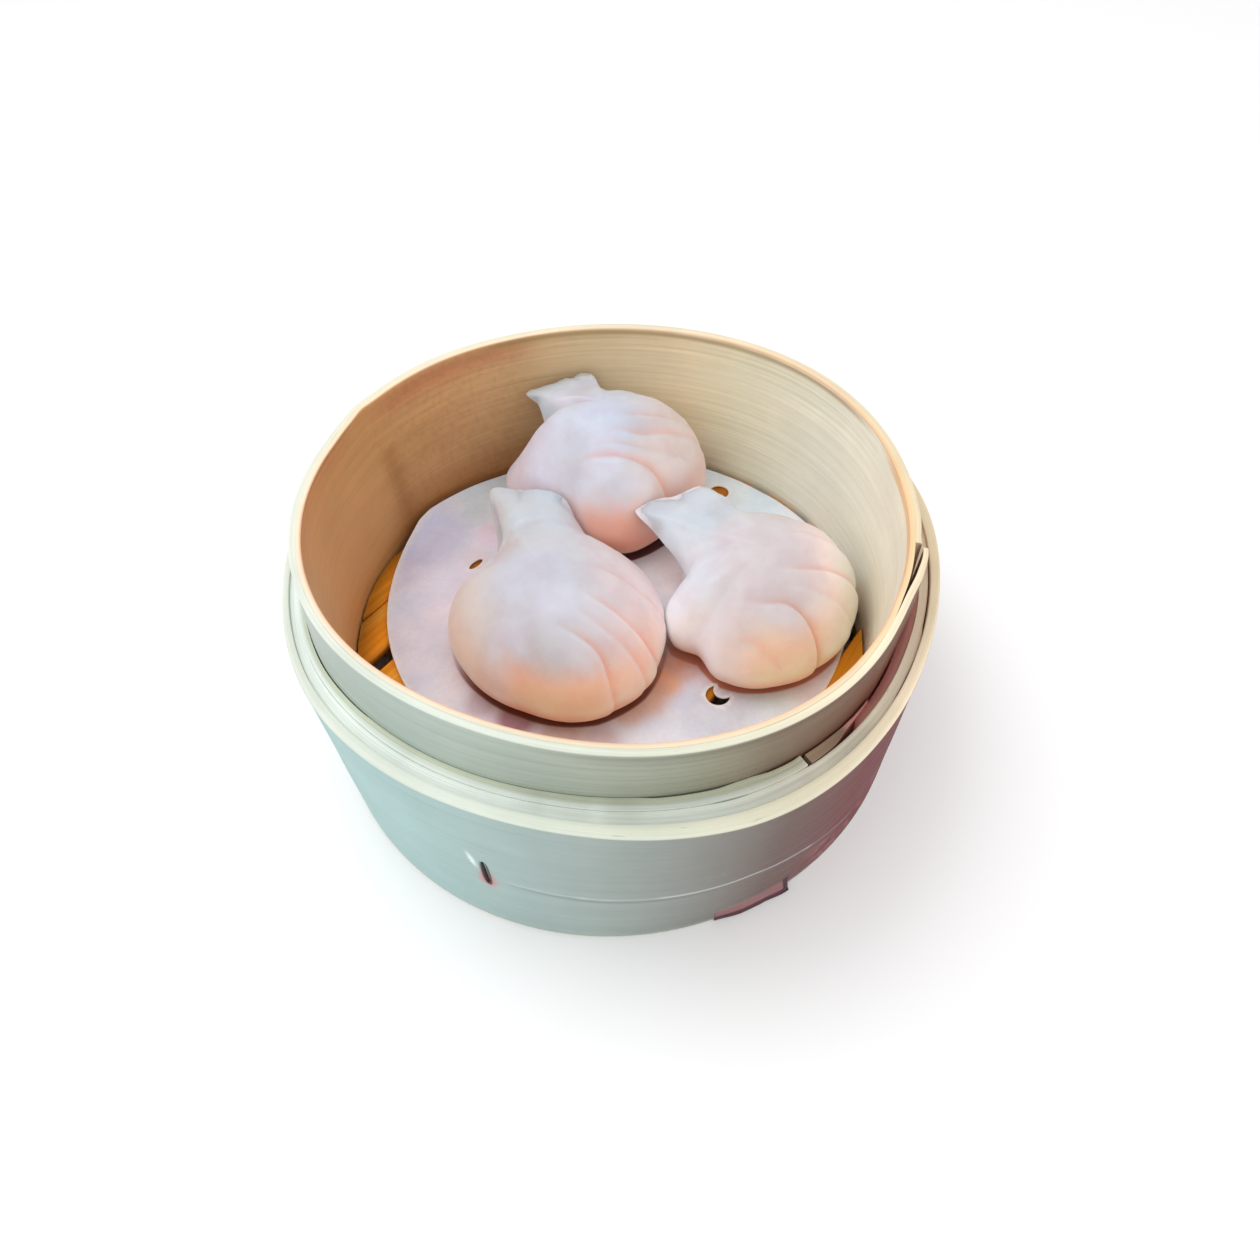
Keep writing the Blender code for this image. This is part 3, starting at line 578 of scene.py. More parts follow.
def hoop_inner():
    """The inner strip: its ridged face up to the eased rim, and its hidden back."""
    theta = round_angles(RING_STEPS, LAP_AT)
    top = RIM_TOP - 0.10 - 0.09 * (1 + round_noise(theta, 3.0, 14.0))
    bend = kink(theta)
    corners = [(column(STRIP_LEVELS, theta, HOOP_FOOT), HOOP_FOOT)]
    for z in np.concatenate([np.linspace(HOOP_FOOT, 46.0, 22), np.linspace(46.5, RIM_TOP - 0.6, 34)]):
        face = wall_at(theta, z) + bend * smooth((z - 40.0) / 20.0)
        corners.append((face + wall_relief(theta, z), z))
    first_top = len(corners)
    for inward, down in ((0.0, EASE), (0.06, 0.14), (0.2, 0.03), (0.4, 0.0), (0.7, 0.0)):
        corners.append((wall_at(theta, RIM_TOP) + bend + inward, top - down))
    back = column(STRIP_LEVELS, theta, RIM_TOP) + bend + RIM_SHUT
    for inward, down in ((0.08, 0.0), (0.01, 0.01), (0.0, 0.04), (0.0, 0.5), (RIM_SHUT, 1.2)):
        corners.append((back - inward, top - down))
    corners.append((column(STRIP_LEVELS, theta, BAND_TOP), BAND_TOP))
    points, faces, grain = swept(theta, corners, True)
    z, angle = points[:, 2], angle_of(points)
    tone = wall_tone(angle % 360.0 - 360.0 * (angle % 360.0 > 270.0), z)
    tone = mix(tone, blend_stops(angle, RIM_CUT), smooth((z - (RIM_TOP - 0.45)) / 0.25))
    row = np.zeros(len(corners))
    row[first_top : first_top + 4] = (1.0, 1.0, 0.9, 0.4)
    peach = np.tile(row, len(theta)) * (0.55 + 0.45 * window(angle, -180, 60, 20))
    tone = mix(tone, srgb(234, 184, 146), 0.9 * peach)
    look = bamboo("inner_strip", 0.08, 0.04, (160, 112, 66), 14.0, shine=0.2)
    piece("inner_hoop", points, faces, "hoop_inner", look, tone, grain)


WRAP_END_AT = -16.5
WRAP_END_RUN = 9.0


def hoop_outer():
    """The strip wrapped round it, up to the rim, thinner towards its free end."""
    theta = np.radians(np.linspace(WRAP_END_AT - 359.0, WRAP_END_AT, RING_STEPS))
    thin = 0.35 * smooth((np.degrees(theta) - (WRAP_END_AT - WRAP_END_RUN)) / WRAP_END_RUN)
    top = RIM_TOP - 0.20 - 0.08 * (1 + round_noise(theta, 9.0, 12.0))
    bend = kink(theta)
    corners = [(column(WRAP_LEVELS, theta, HOOP_FOOT), HOOP_FOOT)]
    corners += [(column(WRAP_IN_LEVELS, theta, z), z) for z in (HOOP_FOOT, 30.0, BAND_TOP, 60.0)]
    rim_in = column(WRAP_IN_LEVELS, theta, RIM_TOP - 0.15) + bend
    shut = -RIM_SHUT
    for inward, down in ((0.0, 1.2), (shut, 0.5), (shut, 0.04), (shut + 0.01, 0.01), (0.1, 0.0)):
        corners.append((rim_in + inward, top - down))
    rim_out = column(WRAP_LEVELS, theta, RIM_TOP - 0.5) - thin + bend
    for inward, down in ((0.35, 0.0), (0.14, 0.05), (0.03, 0.18), (0.0, 0.4)):
        corners.append((rim_out - inward, top - down))
    for z in np.linspace(RIM_TOP - 1.2, BAND_TOP - 2.0, 28):
        wave = 0.5 * wall_relief(theta + 2.0, z) - thin
        out = column(WRAP_LEVELS, theta, z) + bend * smooth((z - 52.0) / 14.0)
        corners.append((out - 0.06 + np.minimum(wave, 0.06), z))
    points, faces, grain = swept(theta, corners, False)
    z, angle = points[:, 2], angle_of(points)
    # The strip's face colours, with their painted light on the left and painted shade on the right.
    tone = edged(angle, z, RIM_TOP, HOOP_FACE_SHADED)
    down = RIM_TOP - z
    tone = mix(tone, tone * 0.72, 0.8 * window(angle, -100, -30, 20) * bell(down - 1.6, 0.9))
    tone = mix(tone, tone * 0.78, 0.6 * window(angle, -96, -62, 10) * bell(down - 3.4, 0.35))
    # Painted light down in the gap on the right: where the hoop's face lies in shade, it is painted lighter
    # and redder.
    deep = smooth((54.5 - z) / 4.0) * window(angle, -62, -10, 16)
    tone = washed(
        tone,
        ((150, 92, 76), 0.7 * deep),
        ((222, 192, 180), 0.6 * window(angle, -13, 4, 14) * smooth(down / 2.0)),
    )
    look = bamboo("outer_strip", 0.10, 0.05, (120, 110, 80), 12.0)
    piece("outer_hoop", points, faces, "hoop_outer", look, tone, grain)


hoop_inner()
hoop_outer()

# ---------------------------------------------------------------- collar

COIL_STEPS = 700
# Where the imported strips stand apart: (start, end, how far) round the basket
HOOP_GAPS = ((-166, -136, 0.45), (-86, -73, 0.6), (-67, -60, 0.8), (60, 150, 0.3))
COIL_GAPS = ((-76, -71, 0.4), (-60, -40, 0.6), (100, 170, 0.3))
BAND_GAPS = ((-41, -33, 0.5), (-25, -8, 0.9), (40, 60, 0.5))
TAIL_GAPS = ((-52, -30, 1.0),)
# Where the second coil strip's face shows, beside the gap in the first one
BARE_FACE = (-48, -12)


def apart(angle, gaps):
    """How open a joint between two strips is at these angles, from 0 to 1."""
    total = np.zeros_like(angle)
    for start, end, how_far in gaps:
        for turn in (-360.0, 0.0, 360.0):
            total = np.maximum(total, how_far * window(angle, start + turn, end + turn, 4.0))
    return total


def coil(name, node, beside, share, joints, ends=None, tips=None, dull=0.0, step=0.0, thin=0.0):
    """One strip of the coil packed between hoop and band, its cut edge upwards.

    beside holds what lies on its hoop side and its band side, as outlines. share is how much of
    the room to them this strip takes where a joint is shut, and joints says where it is open.
    ends are the angles it runs between, if it is not a whole ring, and tips the colours of its
    cut edge there if they are not the coil's. dull greys its hoop side. step is how far its face
    slopes out where the strip next to it is missing, and thin is how much of its width it loses
    towards its end.
    """
    foot, top = foot_of(node), top_of(node)
    theta = np.radians(np.linspace(*ends, COIL_STEPS)) if ends else round_angles(RING_STEPS)
    angle = np.degrees(theta)
    foot_in, face_in = (radius_at(outline(node, h, False), theta) for h in (foot, top))
    foot_out, face_out = (radius_at(outline(node, h, True), theta) for h in (foot, top))
    level = top - 0.25 * (0.5 + 0.5 * round_noise(theta, 4.0 if ends else 21.0, 10.0))
    open_in, open_out = apart(angle, joints[0]), apart(angle, joints[1])
    room_in = np.maximum(face_in - radius_at(beside[0], theta) - 0.04, 0.0)
    room_out = np.maximum(radius_at(beside[1], theta) - face_out - 0.04, 0.0)
    a = face_in - room_in * share[0] * (1.0 - open_in)
    b = face_out + room_out * share[1] * (1.0 - open_out)
    if thin:
        along = smooth((angle - ends[0]) / (ends[1] - ends[0]) * 1.4 - 0.4)
        b = b - (b - a) * thin * along
        level = level - 1.5 * along
    ease_in, ease_out = 0.05 + 0.1 * open_in, 0.05 + 0.1 * open_out
    slope = apart(angle, ((*BARE_FACE, step),))
    drop = 0.7 * slope
    corners = [(foot_out, foot), (foot_in, foot), (face_in - slope, top - 8.0), (a - slope, top - 1.2 - drop)]
    corners += [(a - 0.9 * slope, top - 0.8 - drop), (a - 0.1 * slope, top - 0.7), (a, top - 0.5)]
    corners += [(a, level - 0.7 * ease_in), (a + 0.3 * ease_in, level - 0.2 * ease_in), (a + ease_in, level)]
    for part in np.linspace(0.14, 0.86, 9):
        r = a + ease_in + (b - a - ease_in - ease_out) * part
        corners.append((r, level + 0.05 * round_noise(theta, part * 30.0, 16.0)))
    corners += [(b - ease_out, level), (b - 0.3 * ease_out, level - 0.2 * ease_out)]
    corners += [(b, level - 0.7 * ease_out), (b, top - 2.0), (face_out, top - 6.0)]
    points, faces, grain = swept(theta, corners, not ends)
    near_r, far_r = (np.repeat(r, len(corners)) for r in (a, b))
    across = (radius_of(points) - near_r) / (far_r - near_r)
    angle = angle_of(points)
    cut = blend_stops(angle, tuple(zip(ends, tips)), False) if tips else blend_stops(angle, COIL_CUT)
    cut = mix(cut, cut * 0.86, smooth(1.6 * round_noise(np.radians(angle), 50.0 + foot, 40.0)))
    cut = mix(cut, cut * np.array((0.74, 0.74, 0.62)), dull * smooth((0.75 - across) / 0.4))
    # The face colours carry painted light and shade, and the cut edge on top is the bamboo's own.
    tone = mix(blend_stops(angle, COIL_FACE_SHADED), cut, smooth((points[:, 2] - (top - 0.8)) / 0.4))
    look = bamboo(name + "_fibre", 0.10, 0.08, (130, 120, 90), 10.0)
    piece(name, points, faces, node, look, tone, grain)


def coil_strips():
    hoop = outline("hoop_outer", BAND_TOP, True)
    first = outline("collar_coil_1", top_of("collar_coil_1"), True)
    second = outline("collar_coil_2", top_of("collar_coil_2"), False)
    band = outline("collar_band", BAND_TOP - 0.2, False)
    coil("coil_strip_1", "collar_coil_1", (hoop, second), (1.0, 0.5), (HOOP_GAPS, COIL_GAPS),
         (-372.0, -60.0), dull=1.0)
    coil("coil_strip_2", "collar_coil_2", (first, band), (0.5, 1.0), (COIL_GAPS, BAND_GAPS), step=2.2)
    # The thin end's cut edge darkens towards its far end: painted shade where it runs into the hoop's shadow.
    coil("coil_thin_end", "coil_tail", (hoop, second), (0.3, 0.45), ((), TAIL_GAPS),
         (-59.1, -42.7), ((160, 138, 112), (112, 76, 62)), thin=0.75)


coil_strips()

BAND_STEPS = 900
SLOT_AT = -111.7
SLOT_Z = (19.2, 30.3)
SLOT_MIDDLE = sum(SLOT_Z) / 2
SLOT_HALF = 0.64
SLOT_LEAN = 0.2
SLOT_COLUMNS = [SLOT_AT + SLOT_HALF * part for part in (-1.0, -0.5, 0.0, 0.5, 1.0)]
# Height of the light line round the band's face, by angle
GROOVE = ((-125, 24.5), (-110, 23.8), (-93, 22.4), (-80, 22.6), (-69, 23.0), (-60, 20.3), (-50, 16.0),
          (-40, 12.0))


def band_groove(angle, z):
    """How near a point of the band is to the fine light line that runs round it."""
    fade = smooth((angle + 111.0) / 8.0) * smooth((-44.0 - angle) / 6.0)
    return fade * bell(z - between(angle, GROOVE), 0.42)


def band_angle(angle, z):
    """The band's columns bend round the slot: a lens that leans, in degrees."""
    along = (z - SLOT_MIDDLE) / ((SLOT_Z[1] - SLOT_Z[0]) / 2)
    lens = np.clip(1.0 - along**2, 0.02, 1.0) ** 0.4
    half = SLOT_HALF * np.where(abs(along) <= 1.0, lens, 1.0)
    away = angle - SLOT_AT
    near = smooth(1.0 - (np.abs(away) - SLOT_HALF) / 5.0) * smooth(2.6 - abs(along))
    lean = -SLOT_LEAN * np.clip(along, -1.5, 1.5) * 0.5
    return np.where(
        np.abs(away) <= SLOT_HALF + 1e-6,
        SLOT_AT + lean * smooth(2.6 - abs(along)) + away * half / SLOT_HALF,
        angle + near * (lean + np.sign(away) * (half - SLOT_HALF)),
    )


def band_columns():
    """Angles of the band's columns, with the slot's own ones close together."""
    base = np.degrees(round_angles(BAND_STEPS))
    clear = np.abs(off(base, SLOT_AT)) > SLOT_HALF + 0.1
    return off(np.sort(np.concatenate([base[clear], np.array(SLOT_COLUMNS) % 360.0])), 0.0)


def cut_slot(faces, count, columns, rows_out, rows_in):
    """The band's faces with the slot cut through them, and the slot's own four sides.

    There are count points to a column. rows_out holds the first and last row of the opening on
    the band's outer face, and rows_in its lower and upper row on the inner face.
    """
    high, low = rows_out
    opened = {(c, row) for c in columns[:-1] for row in (*range(high, low), rows_in[0])}
    kept = [face for index, face in enumerate(faces) if divmod(index, count) not in opened]

    def at(c, row):
        return c * count + row

    for p, q in zip(columns[:-1], columns[1:]):
        kept.append((at(p, high), at(p, rows_in[1]), at(q, rows_in[1]), at(q, high)))
        kept.append((at(q, low), at(q, rows_in[0]), at(p, rows_in[0]), at(p, low)))
    for c, turn in ((columns[0], 1), (columns[-1], -1)):
        side = [at(c, row) for row in (*range(high, low + 1), *rows_in)]
        kept.append(tuple(side[::turn]))
    return kept


def band_tone(angle, z):
    """Blue-green in painted light at the left to purple-brown in painted shade at the right, with the groove,
    the worn marks and a painted highlight beside the slot.
    """
    broken = 0.24 + 0.42 * smooth(1.4 * drift(angle * 0.22, 3.0) + 0.6)
    worn = window(angle, -56, -24, 10) * smooth((26.0 - z) / 12.0)
    lashing_highlight = bell(angle + 113.9 + 0.15 * (z - 30.0), 0.45) * bell(z - 29.5, 2.6)
    blush = bell(angle - SLOT_AT, 1.5) * bell(z - 22.0, 3.6)
    return washed(
        # The face colours, with their painted light on the left and painted shade on the right.
        edged(angle, z, BAND_TOP, OUTER_FACE_SHADED),
        ((226, 234, 238), broken * band_groove(angle, z)),
        ((116, 114, 114), 0.45 * band_groove(angle, z + 1.2)),
        ((180, 124, 128), 0.5 * worn * smooth(drift(angle * 0.6, z * 0.4) * 1.5)),
        ((190, 196, 180), 0.5 * smooth((2.2 - z) / 1.6)),
        # painted highlight where the lashing beside the slot catches the light
        ((232, 244, 246), 0.9 * smooth(lashing_highlight * 1.6)),
        ((204, 138, 140), 0.8 * smooth(blush * 1.3)),
    )


def collar_band():
    """The wide outer band: over its top edge, down its face, and the slot cut through it."""
    foot, top = foot_of("collar_band"), BAND_TOP
    outer = levels_of("collar_band", (0.0, top - 0.6), True)
    inner = levels_of("collar_band", (0.0, top - 0.2), False)
    base = band_columns()
    theta = np.radians(base)
    level = top - 0.10 * (1 + round_noise(theta, 30.0, 12.0))
    a = radius_at(inner[1][1], theta)
    b = column(outer, theta, top - 0.6) - 0.12
    corners = [(column(outer, theta, foot) - 0.5, foot), (radius_at(inner[0][1], theta), foot)]
    slot_in = (len(corners), len(corners) + 1)
    corners += [(column(inner, theta, z), z) for z in SLOT_Z]
    corners += [(a, top - 3.0), (a, level - 0.2), (a + 0.04, level - 0.05), (a + 0.15, level)]
    for part in (0.3, 0.5, 0.7):
        corners.append((a + (b - a) * part, level + 0.04 * round_noise(theta, part * 40.0, 18.0)))
    corners += [(b - 0.55, level - 0.02), (b - 0.25, level - 0.12), (b - 0.08, level - 0.3), (b, level - 0.6)]
    first_out = len(corners)
    above = np.linspace(top - 1.2, SLOT_Z[1], 26)
    beside = np.linspace(SLOT_Z[1], SLOT_Z[0], 22)[1:]
    for z in np.concatenate([above, beside, np.linspace(SLOT_Z[0], 0.8, 24)[1:]]):
        wave = 0.09 * round_noise(theta, z * 0.12, 6.0) + 0.02 * round_noise(theta, z * 1.9, 7.0)
        wave = wave - 0.10 * band_groove(base, z + 0.45)
        corners.append((column(outer, theta, z) - 0.22 + wave, z))
    corners.append((column(outer, theta, 0.35) - 0.25, 0.35))
    points, faces, grain = swept(theta, corners, True)
    count = len(corners)
    z, r = points[:, 2], radius_of(points)
    bent = np.radians(band_angle(np.repeat(base, count), z))
    points[:, 0], points[:, 1] = r * np.cos(bent), r * np.sin(bent)
    left = int(np.argmin(np.abs(off(base, SLOT_COLUMNS[0]))))
    columns = [(left + k) % len(base) for k in range(len(SLOT_COLUMNS))]
    high = first_out + len(above) - 1
    low = high + len(beside)
    faces = cut_slot(faces, count, columns, (high, low), slot_in)
    angle = angle_of(points)
    # Painted shade in the slot: its inner walls and side lips are painted nearly black.
    slot_shade = smooth((column(outer, np.radians(angle), 26.0) - r - 0.5) / 0.5)
    slot_shade = slot_shade * (np.abs(angle - SLOT_AT) < 1.4) * (np.abs(z - SLOT_MIDDLE) < 8.0)
    shaded_lips = np.zeros(len(points))
    for c in (columns[0], columns[-1]):
        shaded_lips[c * count + high + 1 : c * count + low] = 1.0
    tone = washed(band_tone(angle, z), ((60, 30, 26), slot_shade), ((64, 34, 30), 0.85 * shaded_lips))
    look = bamboo("band_skin", 0.06, 0.03, (110, 105, 105), 9.0, roughness=0.6, shine=0.14)
    piece("collar_skin", points, faces, "collar_band", look, tone, grain)


collar_band()

# How far the strip's inner face lies under the band's skin, and how far it lifts at the foot
STRIP_SUNK = 0.27
STRIP_LIFT = 0.2
STRIP_THICK_LOW = 1.3
STRIP_THICK_HIGH = 0.12
STRIP_STEPS = 110


def base_strip():
    """The dark strip lapped under the band's foot: a wedge that thins upwards, with a worn end."""
    foot, top = foot_of("base_strip"), top_of("base_strip")
    ends = angle_of(cad_points("base_strip"))
    start, end = ends.min(), ends.max()
    theta = np.radians(np.linspace(start, end, STRIP_STEPS))
    angle = np.degrees(theta)
    band = levels_of("collar_band", (0.0, BAND_TOP - 0.6), True)
    high = top - 0.3 * (1 + drift(theta * 40.0, 9.0))
    worn = smooth((angle - end + 1.0) / 1.0)
    taper = 0.25 + 0.4 * smooth((angle - start) / 5.0)
    taper = taper + 0.35 * smooth((angle - end + 5.0) / 4.0)

    def inner(z):
        up = float(np.mean(z)) / top
        lifted = (STRIP_SUNK + STRIP_LIFT) * taper * (1.0 - smooth(up * 1.2))
        return column(band, theta, up * top) - STRIP_SUNK + lifted

    corners = [(inner(0.0) + (STRIP_THICK_LOW - 0.35) * taper, foot), (inner(0.0), foot)]
    corners += [(inner(high), high - 0.1), (inner(high) + 0.05, high)]
    for part in np.linspace(1.0, 0.05, 14):
        z = high * part
        thick = STRIP_THICK_HIGH + (STRIP_THICK_LOW - STRIP_THICK_HIGH) * (1.0 - part)
        thick = thick - 0.05 * (1 + drift(theta * 25.0, part * 2.0)) - 0.5 * worn * (part > 0.1)
        corners.append((inner(z) + np.maximum(thick * taper, 0.08), z - 0.05 * (part == 1.0)))
    points, faces, grain = swept(theta, corners, False)
    z, angle = points[:, 2], angle_of(points)
    tone = washed(
        # The band's face colours, with their painted light and shade, under the strip's own wash.
        blend_stops(angle, OUTER_FACE_SHADED),
        ((146, 100, 102), smooth((top - 0.4 - z) / 2.0)),
        # Painted shade along the strip's foot, where it meets the floor.
        ((70, 24, 34), smooth((2.5 - z) / 0.5)),
        ((60, 26, 32), smooth((angle - angle.max() + 1.5) / 0.5)),
    )
    look = bamboo("dark_strip", 0.12, 0.1, (70, 34, 36), 20.0)
    piece("lapped_strip", points, faces, "base_strip", look, tone, grain)


base_strip()

PIN_ROWS = 12
PIN_SIDES = 10
PIN_LEAN = 0.07
PIN_HALF_DEEP = 0.85
PIN_HALF_WIDE = 0.42


def slot_pin():
    """The frayed end of the lashing that shows in the slot."""
    low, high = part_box("collar_pin")
    middle = (low + high) / 2 / MM
    out = Vector((middle.x, middle.y, 0.0)).normalized()
    side = Vector((-out.y, out.x, 0.0))
    length = (high.z - low.z) / MM
    points = []
    for i in range(PIN_ROWS):
        t = i / (PIN_ROWS - 1)
        swell = 0.25 + 0.75 * math.sin(math.pi * min(max(t, 0.06), 0.94)) ** 0.5
        centre = middle + Vector((0, 0, (t - 0.5) * length)) - side * (t - 0.5) * length * PIN_LEAN
        for k in range(PIN_SIDES):
            a = 2 * math.pi * k / PIN_SIDES
            r = swell * (1.0 + 0.15 * value_noise(k * 1.7, i * 0.6))
            p = centre + out * (PIN_HALF_DEEP * r * math.cos(a)) + side * (PIN_HALF_WIDE * r * math.sin(a))
            points.append(tuple(p))
    points = np.array(points)
    look = bamboo("pin_fibre", 0.2, 0.1, (60, 30, 24), 60.0)
    tone = np.broadcast_to(srgb(70, 32, 26), points.shape)
    piece("slot_pin", points, tube_faces(PIN_ROWS, PIN_SIDES), "collar_pin", look, tone,
          points[:, [2, 0, 1]] * MM)


slot_pin()

# ---------------------------------------------------------------- floor slats

PAPER_CENTRE = (1.5, 11.5)
SLAT_DIRECTION = math.radians(52.0)
SLAT_WIDTH = 11.6
SLAT_MIDDLES = (-50.0, -34.0, -18.0, -2.0, 14.0, 30.0, 46.0)
SLAT_SIDES = ((-67.0, -56.3), (56.2, 67.0))
SLAT_CLEAR = 0.6
SLAT_REACH = 67.0
SLAT_STEPS = 110
CROWN = 0.22
SLAT_EDGE = 0.45
BAR_OFFSETS = (-37.0, 37.0)
BAR_WIDTH = 9.0
BAR_REACH = 66.0


def from_centre(x, y):
    """How far out from the paper's centre a point is."""
    return np.hypot(x - PAPER_CENTRE[0], y - PAPER_CENTRE[1])


def turned(u, v):
    """Place of a point that lies u along the slats and v across them."""
    c, s = math.cos(SLAT_DIRECTION), math.sin(SLAT_DIRECTION)
    return u * c + v * s, u * s - v * c


def slat_end(v, sign, z):
    """How far a line at offset v runs before it meets the hoop."""
    u = sign * np.sqrt(np.maximum(SLAT_REACH**2 - v**2, 1.0))
    for _ in range(10):
        x, y = turned(u, v)
        room = wall_at(np.arctan2(y, x), z) - SLAT_CLEAR
        u = sign * np.sqrt(np.maximum(room**2 - v**2, 1.0))
    return u


def plank_profile(v0, v1, foot, top):
    """(offset, height) round a strip with a crowned top and eased edges."""
    left = [(0.1, foot), (0.0, foot + 0.3), (0.0, top - CROWN - SLAT_EDGE), (0.14, top - CROWN - 0.14)]
    crown = [(v0 + (v1 - v0) * q, top - CROWN * (2 * q - 1) ** 2) for q in np.linspace(0.04, 0.96, 13)]
    return [(v0 + v, z) for v, z in left] + crown + [(v1 - v, z) for v, z in left[::-1]]


def plank(name, node, v0, v1, reach, seed, look, swap=False):
    """A split bamboo strip with a knuckle across it, cut off raggedly at its ends.

    reach(v) gives where it starts and ends along its own direction. swap lays it across the
    slats instead of along them.
    """
    foot, top = foot_of(node), top_of(node)
    profile = plank_profile(v0, v1, foot, top)
    v, z = np.array(profile).T
    start, end = reach(v)
    t = np.linspace(0.0, 1.0, SLAT_STEPS)[:, None]
    u = start + (end - start) * t
    bend = bell(u - (-20.0 + 46.0 * value_noise(seed * 3.7, 0.5)), 1.5)
    upper = smooth((z - foot) / (top - foot))
    rise = (0.07 * drift(u * 0.06 + seed, v * 0.5) - 0.05 + 0.09 * bend) * upper
    height = np.minimum(z + rise - 0.04 * upper, top)
    along = u + 0.25 * drift(v * 2.0 + seed * 9.0, t * 3.0) * (np.abs(t - 0.5) > 0.49)
    sideways = v + 0.12 * drift(u * 0.05 + seed * 5.0, 0.0)
    x, y = turned(sideways, along) if swap else turned(along, sideways)
    points = np.stack([x, y, height], -1).reshape(-1, 3)
    faces = tube_faces(SLAT_STEPS, len(profile))
    if not swap:
        faces = [face[::-1] for face in faces]
    x, y = points[:, 0], points[:, 1]
    golden = mix(srgb(255, 172, 44), srgb(250, 156, 36), 0.5 + 0.5 * value_noise(seed * 1.3, 2.0))
    lower = smooth((top - 0.7 - np.broadcast_to(z, u.shape)) / 0.8).ravel()
    # Painted shade on the slats where they lie under the paper.
    shade_under_paper = smooth((61.0 - from_centre(x, y)) / 3.0)
    near = smooth(1.0 - (wall_at(np.arctan2(y, x), top) - np.hypot(x, y)) / 8.0)
    tone = washed(
        golden,
        ((255, 200, 90), 0.4 * smooth(drift(u * 0.03, v * 0.3 + seed) * 2.0).ravel()),
        ((170, 94, 22), 0.55 * bend.ravel()),
        ((120, 62, 18), 0.8 * lower),
        ((150, 82, 22), 0.7 * shade_under_paper),
        # Painted shade on the left slats next to the hoop wall.
        ((134, 84, 24), 0.75 * near * smooth(0.5 - x / 60.0)),
    )
    grain = np.stack(np.broadcast_arrays(u, z, v), -1).reshape(-1, 3) * MM
    piece(name, points, faces, node, look, tone, grain)


def floor_slats():
    look = bamboo("slat_fibre", 0.16, 0.10, (120, 60, 14), 26.0, stains=0.2, shine=0.12)
    middles = [(m - SLAT_WIDTH / 2, m + SLAT_WIDTH / 2) for m in SLAT_MIDDLES]
    for number, (v0, v1) in enumerate([SLAT_SIDES[0], *middles, SLAT_SIDES[1]], 1):
        node = f"slat_{number:02d}"
        z = top_of(node)
        plank(f"floor_{node}", node, v0, v1, lambda v, z=z: (slat_end(v, -1, z), slat_end(v, 1, z)),
              number, look)
    far = math.sqrt(BAR_REACH**2 - (BAR_OFFSETS[1] + BAR_WIDTH / 2) ** 2)
    for number, offset in enumerate(BAR_OFFSETS, 1):
        plank(f"under_bar_{number}", f"crossbar_{number}", offset - BAR_WIDTH / 2, offset + BAR_WIDTH / 2,
              lambda v: (np.full_like(v, -far), np.full_like(v, far)), 20 + number, look, swap=True)


floor_slats()

# ---------------------------------------------------------------- paper

PAPER_R = 64.2
PAPER_LIMIT = 68.5
PAPER_FOOT = 21.25
PAPER_THICK = 0.4
PAPER_STEP = 1.15
HOLES = 6
HOLE_STEPS = 28
HOLE_RING_CENTRE = (6.4, 14.3)
HOLE_RING_R = 45.0
HOLE_R = 3.1
HOLE_FIRST = 52.0
TORN_HOLE = 4
CREASED_HOLE = 2
CREASE_TURN = math.radians(49.0)
HOLE_SHIFT = {CREASED_HOLE: (-1.0, 1.5), TORN_HOLE: (2.7, 0.8)}
# Height of the lip curled up against the hoop, by angle
LIP = ((100, 0.0), (120, 1.2), (131, 2.4), (142, 3.6), (150, 2.2), (165, 0.6), (180, 0.0))
REST_Z = PAPER_FOOT + PAPER_THICK + 0.25


def paper_edge(theta):
    """Distance from the paper's centre to its edge, kept clear of the hoop."""
    b = PAPER_CENTRE[0] * np.cos(theta) + PAPER_CENTRE[1] * np.sin(theta)
    limit = -b + np.sqrt(b * b - PAPER_CENTRE[0] ** 2 - PAPER_CENTRE[1] ** 2 + PAPER_LIMIT**2)
    worn = 0.12 * round_noise(theta, 3.0, 22.0)
    return np.minimum(PAPER_R, limit) - 0.15 + worn


def paper_lift(x, y):
    """Height of the paper over its flat rest: the curled lip, soft ripples and a fold or two."""
    near = np.clip((np.hypot(x, y) - 62.0) / 6.6, 0.0, 1.0)
    lift = between(np.degrees(np.arctan2(y, x)), LIP) * near**1.5
    loose = smooth((from_centre(x, y) / PAPER_R - 0.62) / 0.38)
    ripple = 0.10 * drift(x * 0.09, y * 0.09) + 0.5 * loose * (0.3 + drift(x * 0.05 + 7.0, y * 0.05))
    fold = 0.45 * loose * bell(x + 44.0 - 0.25 * y, 3.2) * smooth((8.0 - y) / 14.0)
    return lift + np.maximum(ripple, -0.12) + fold


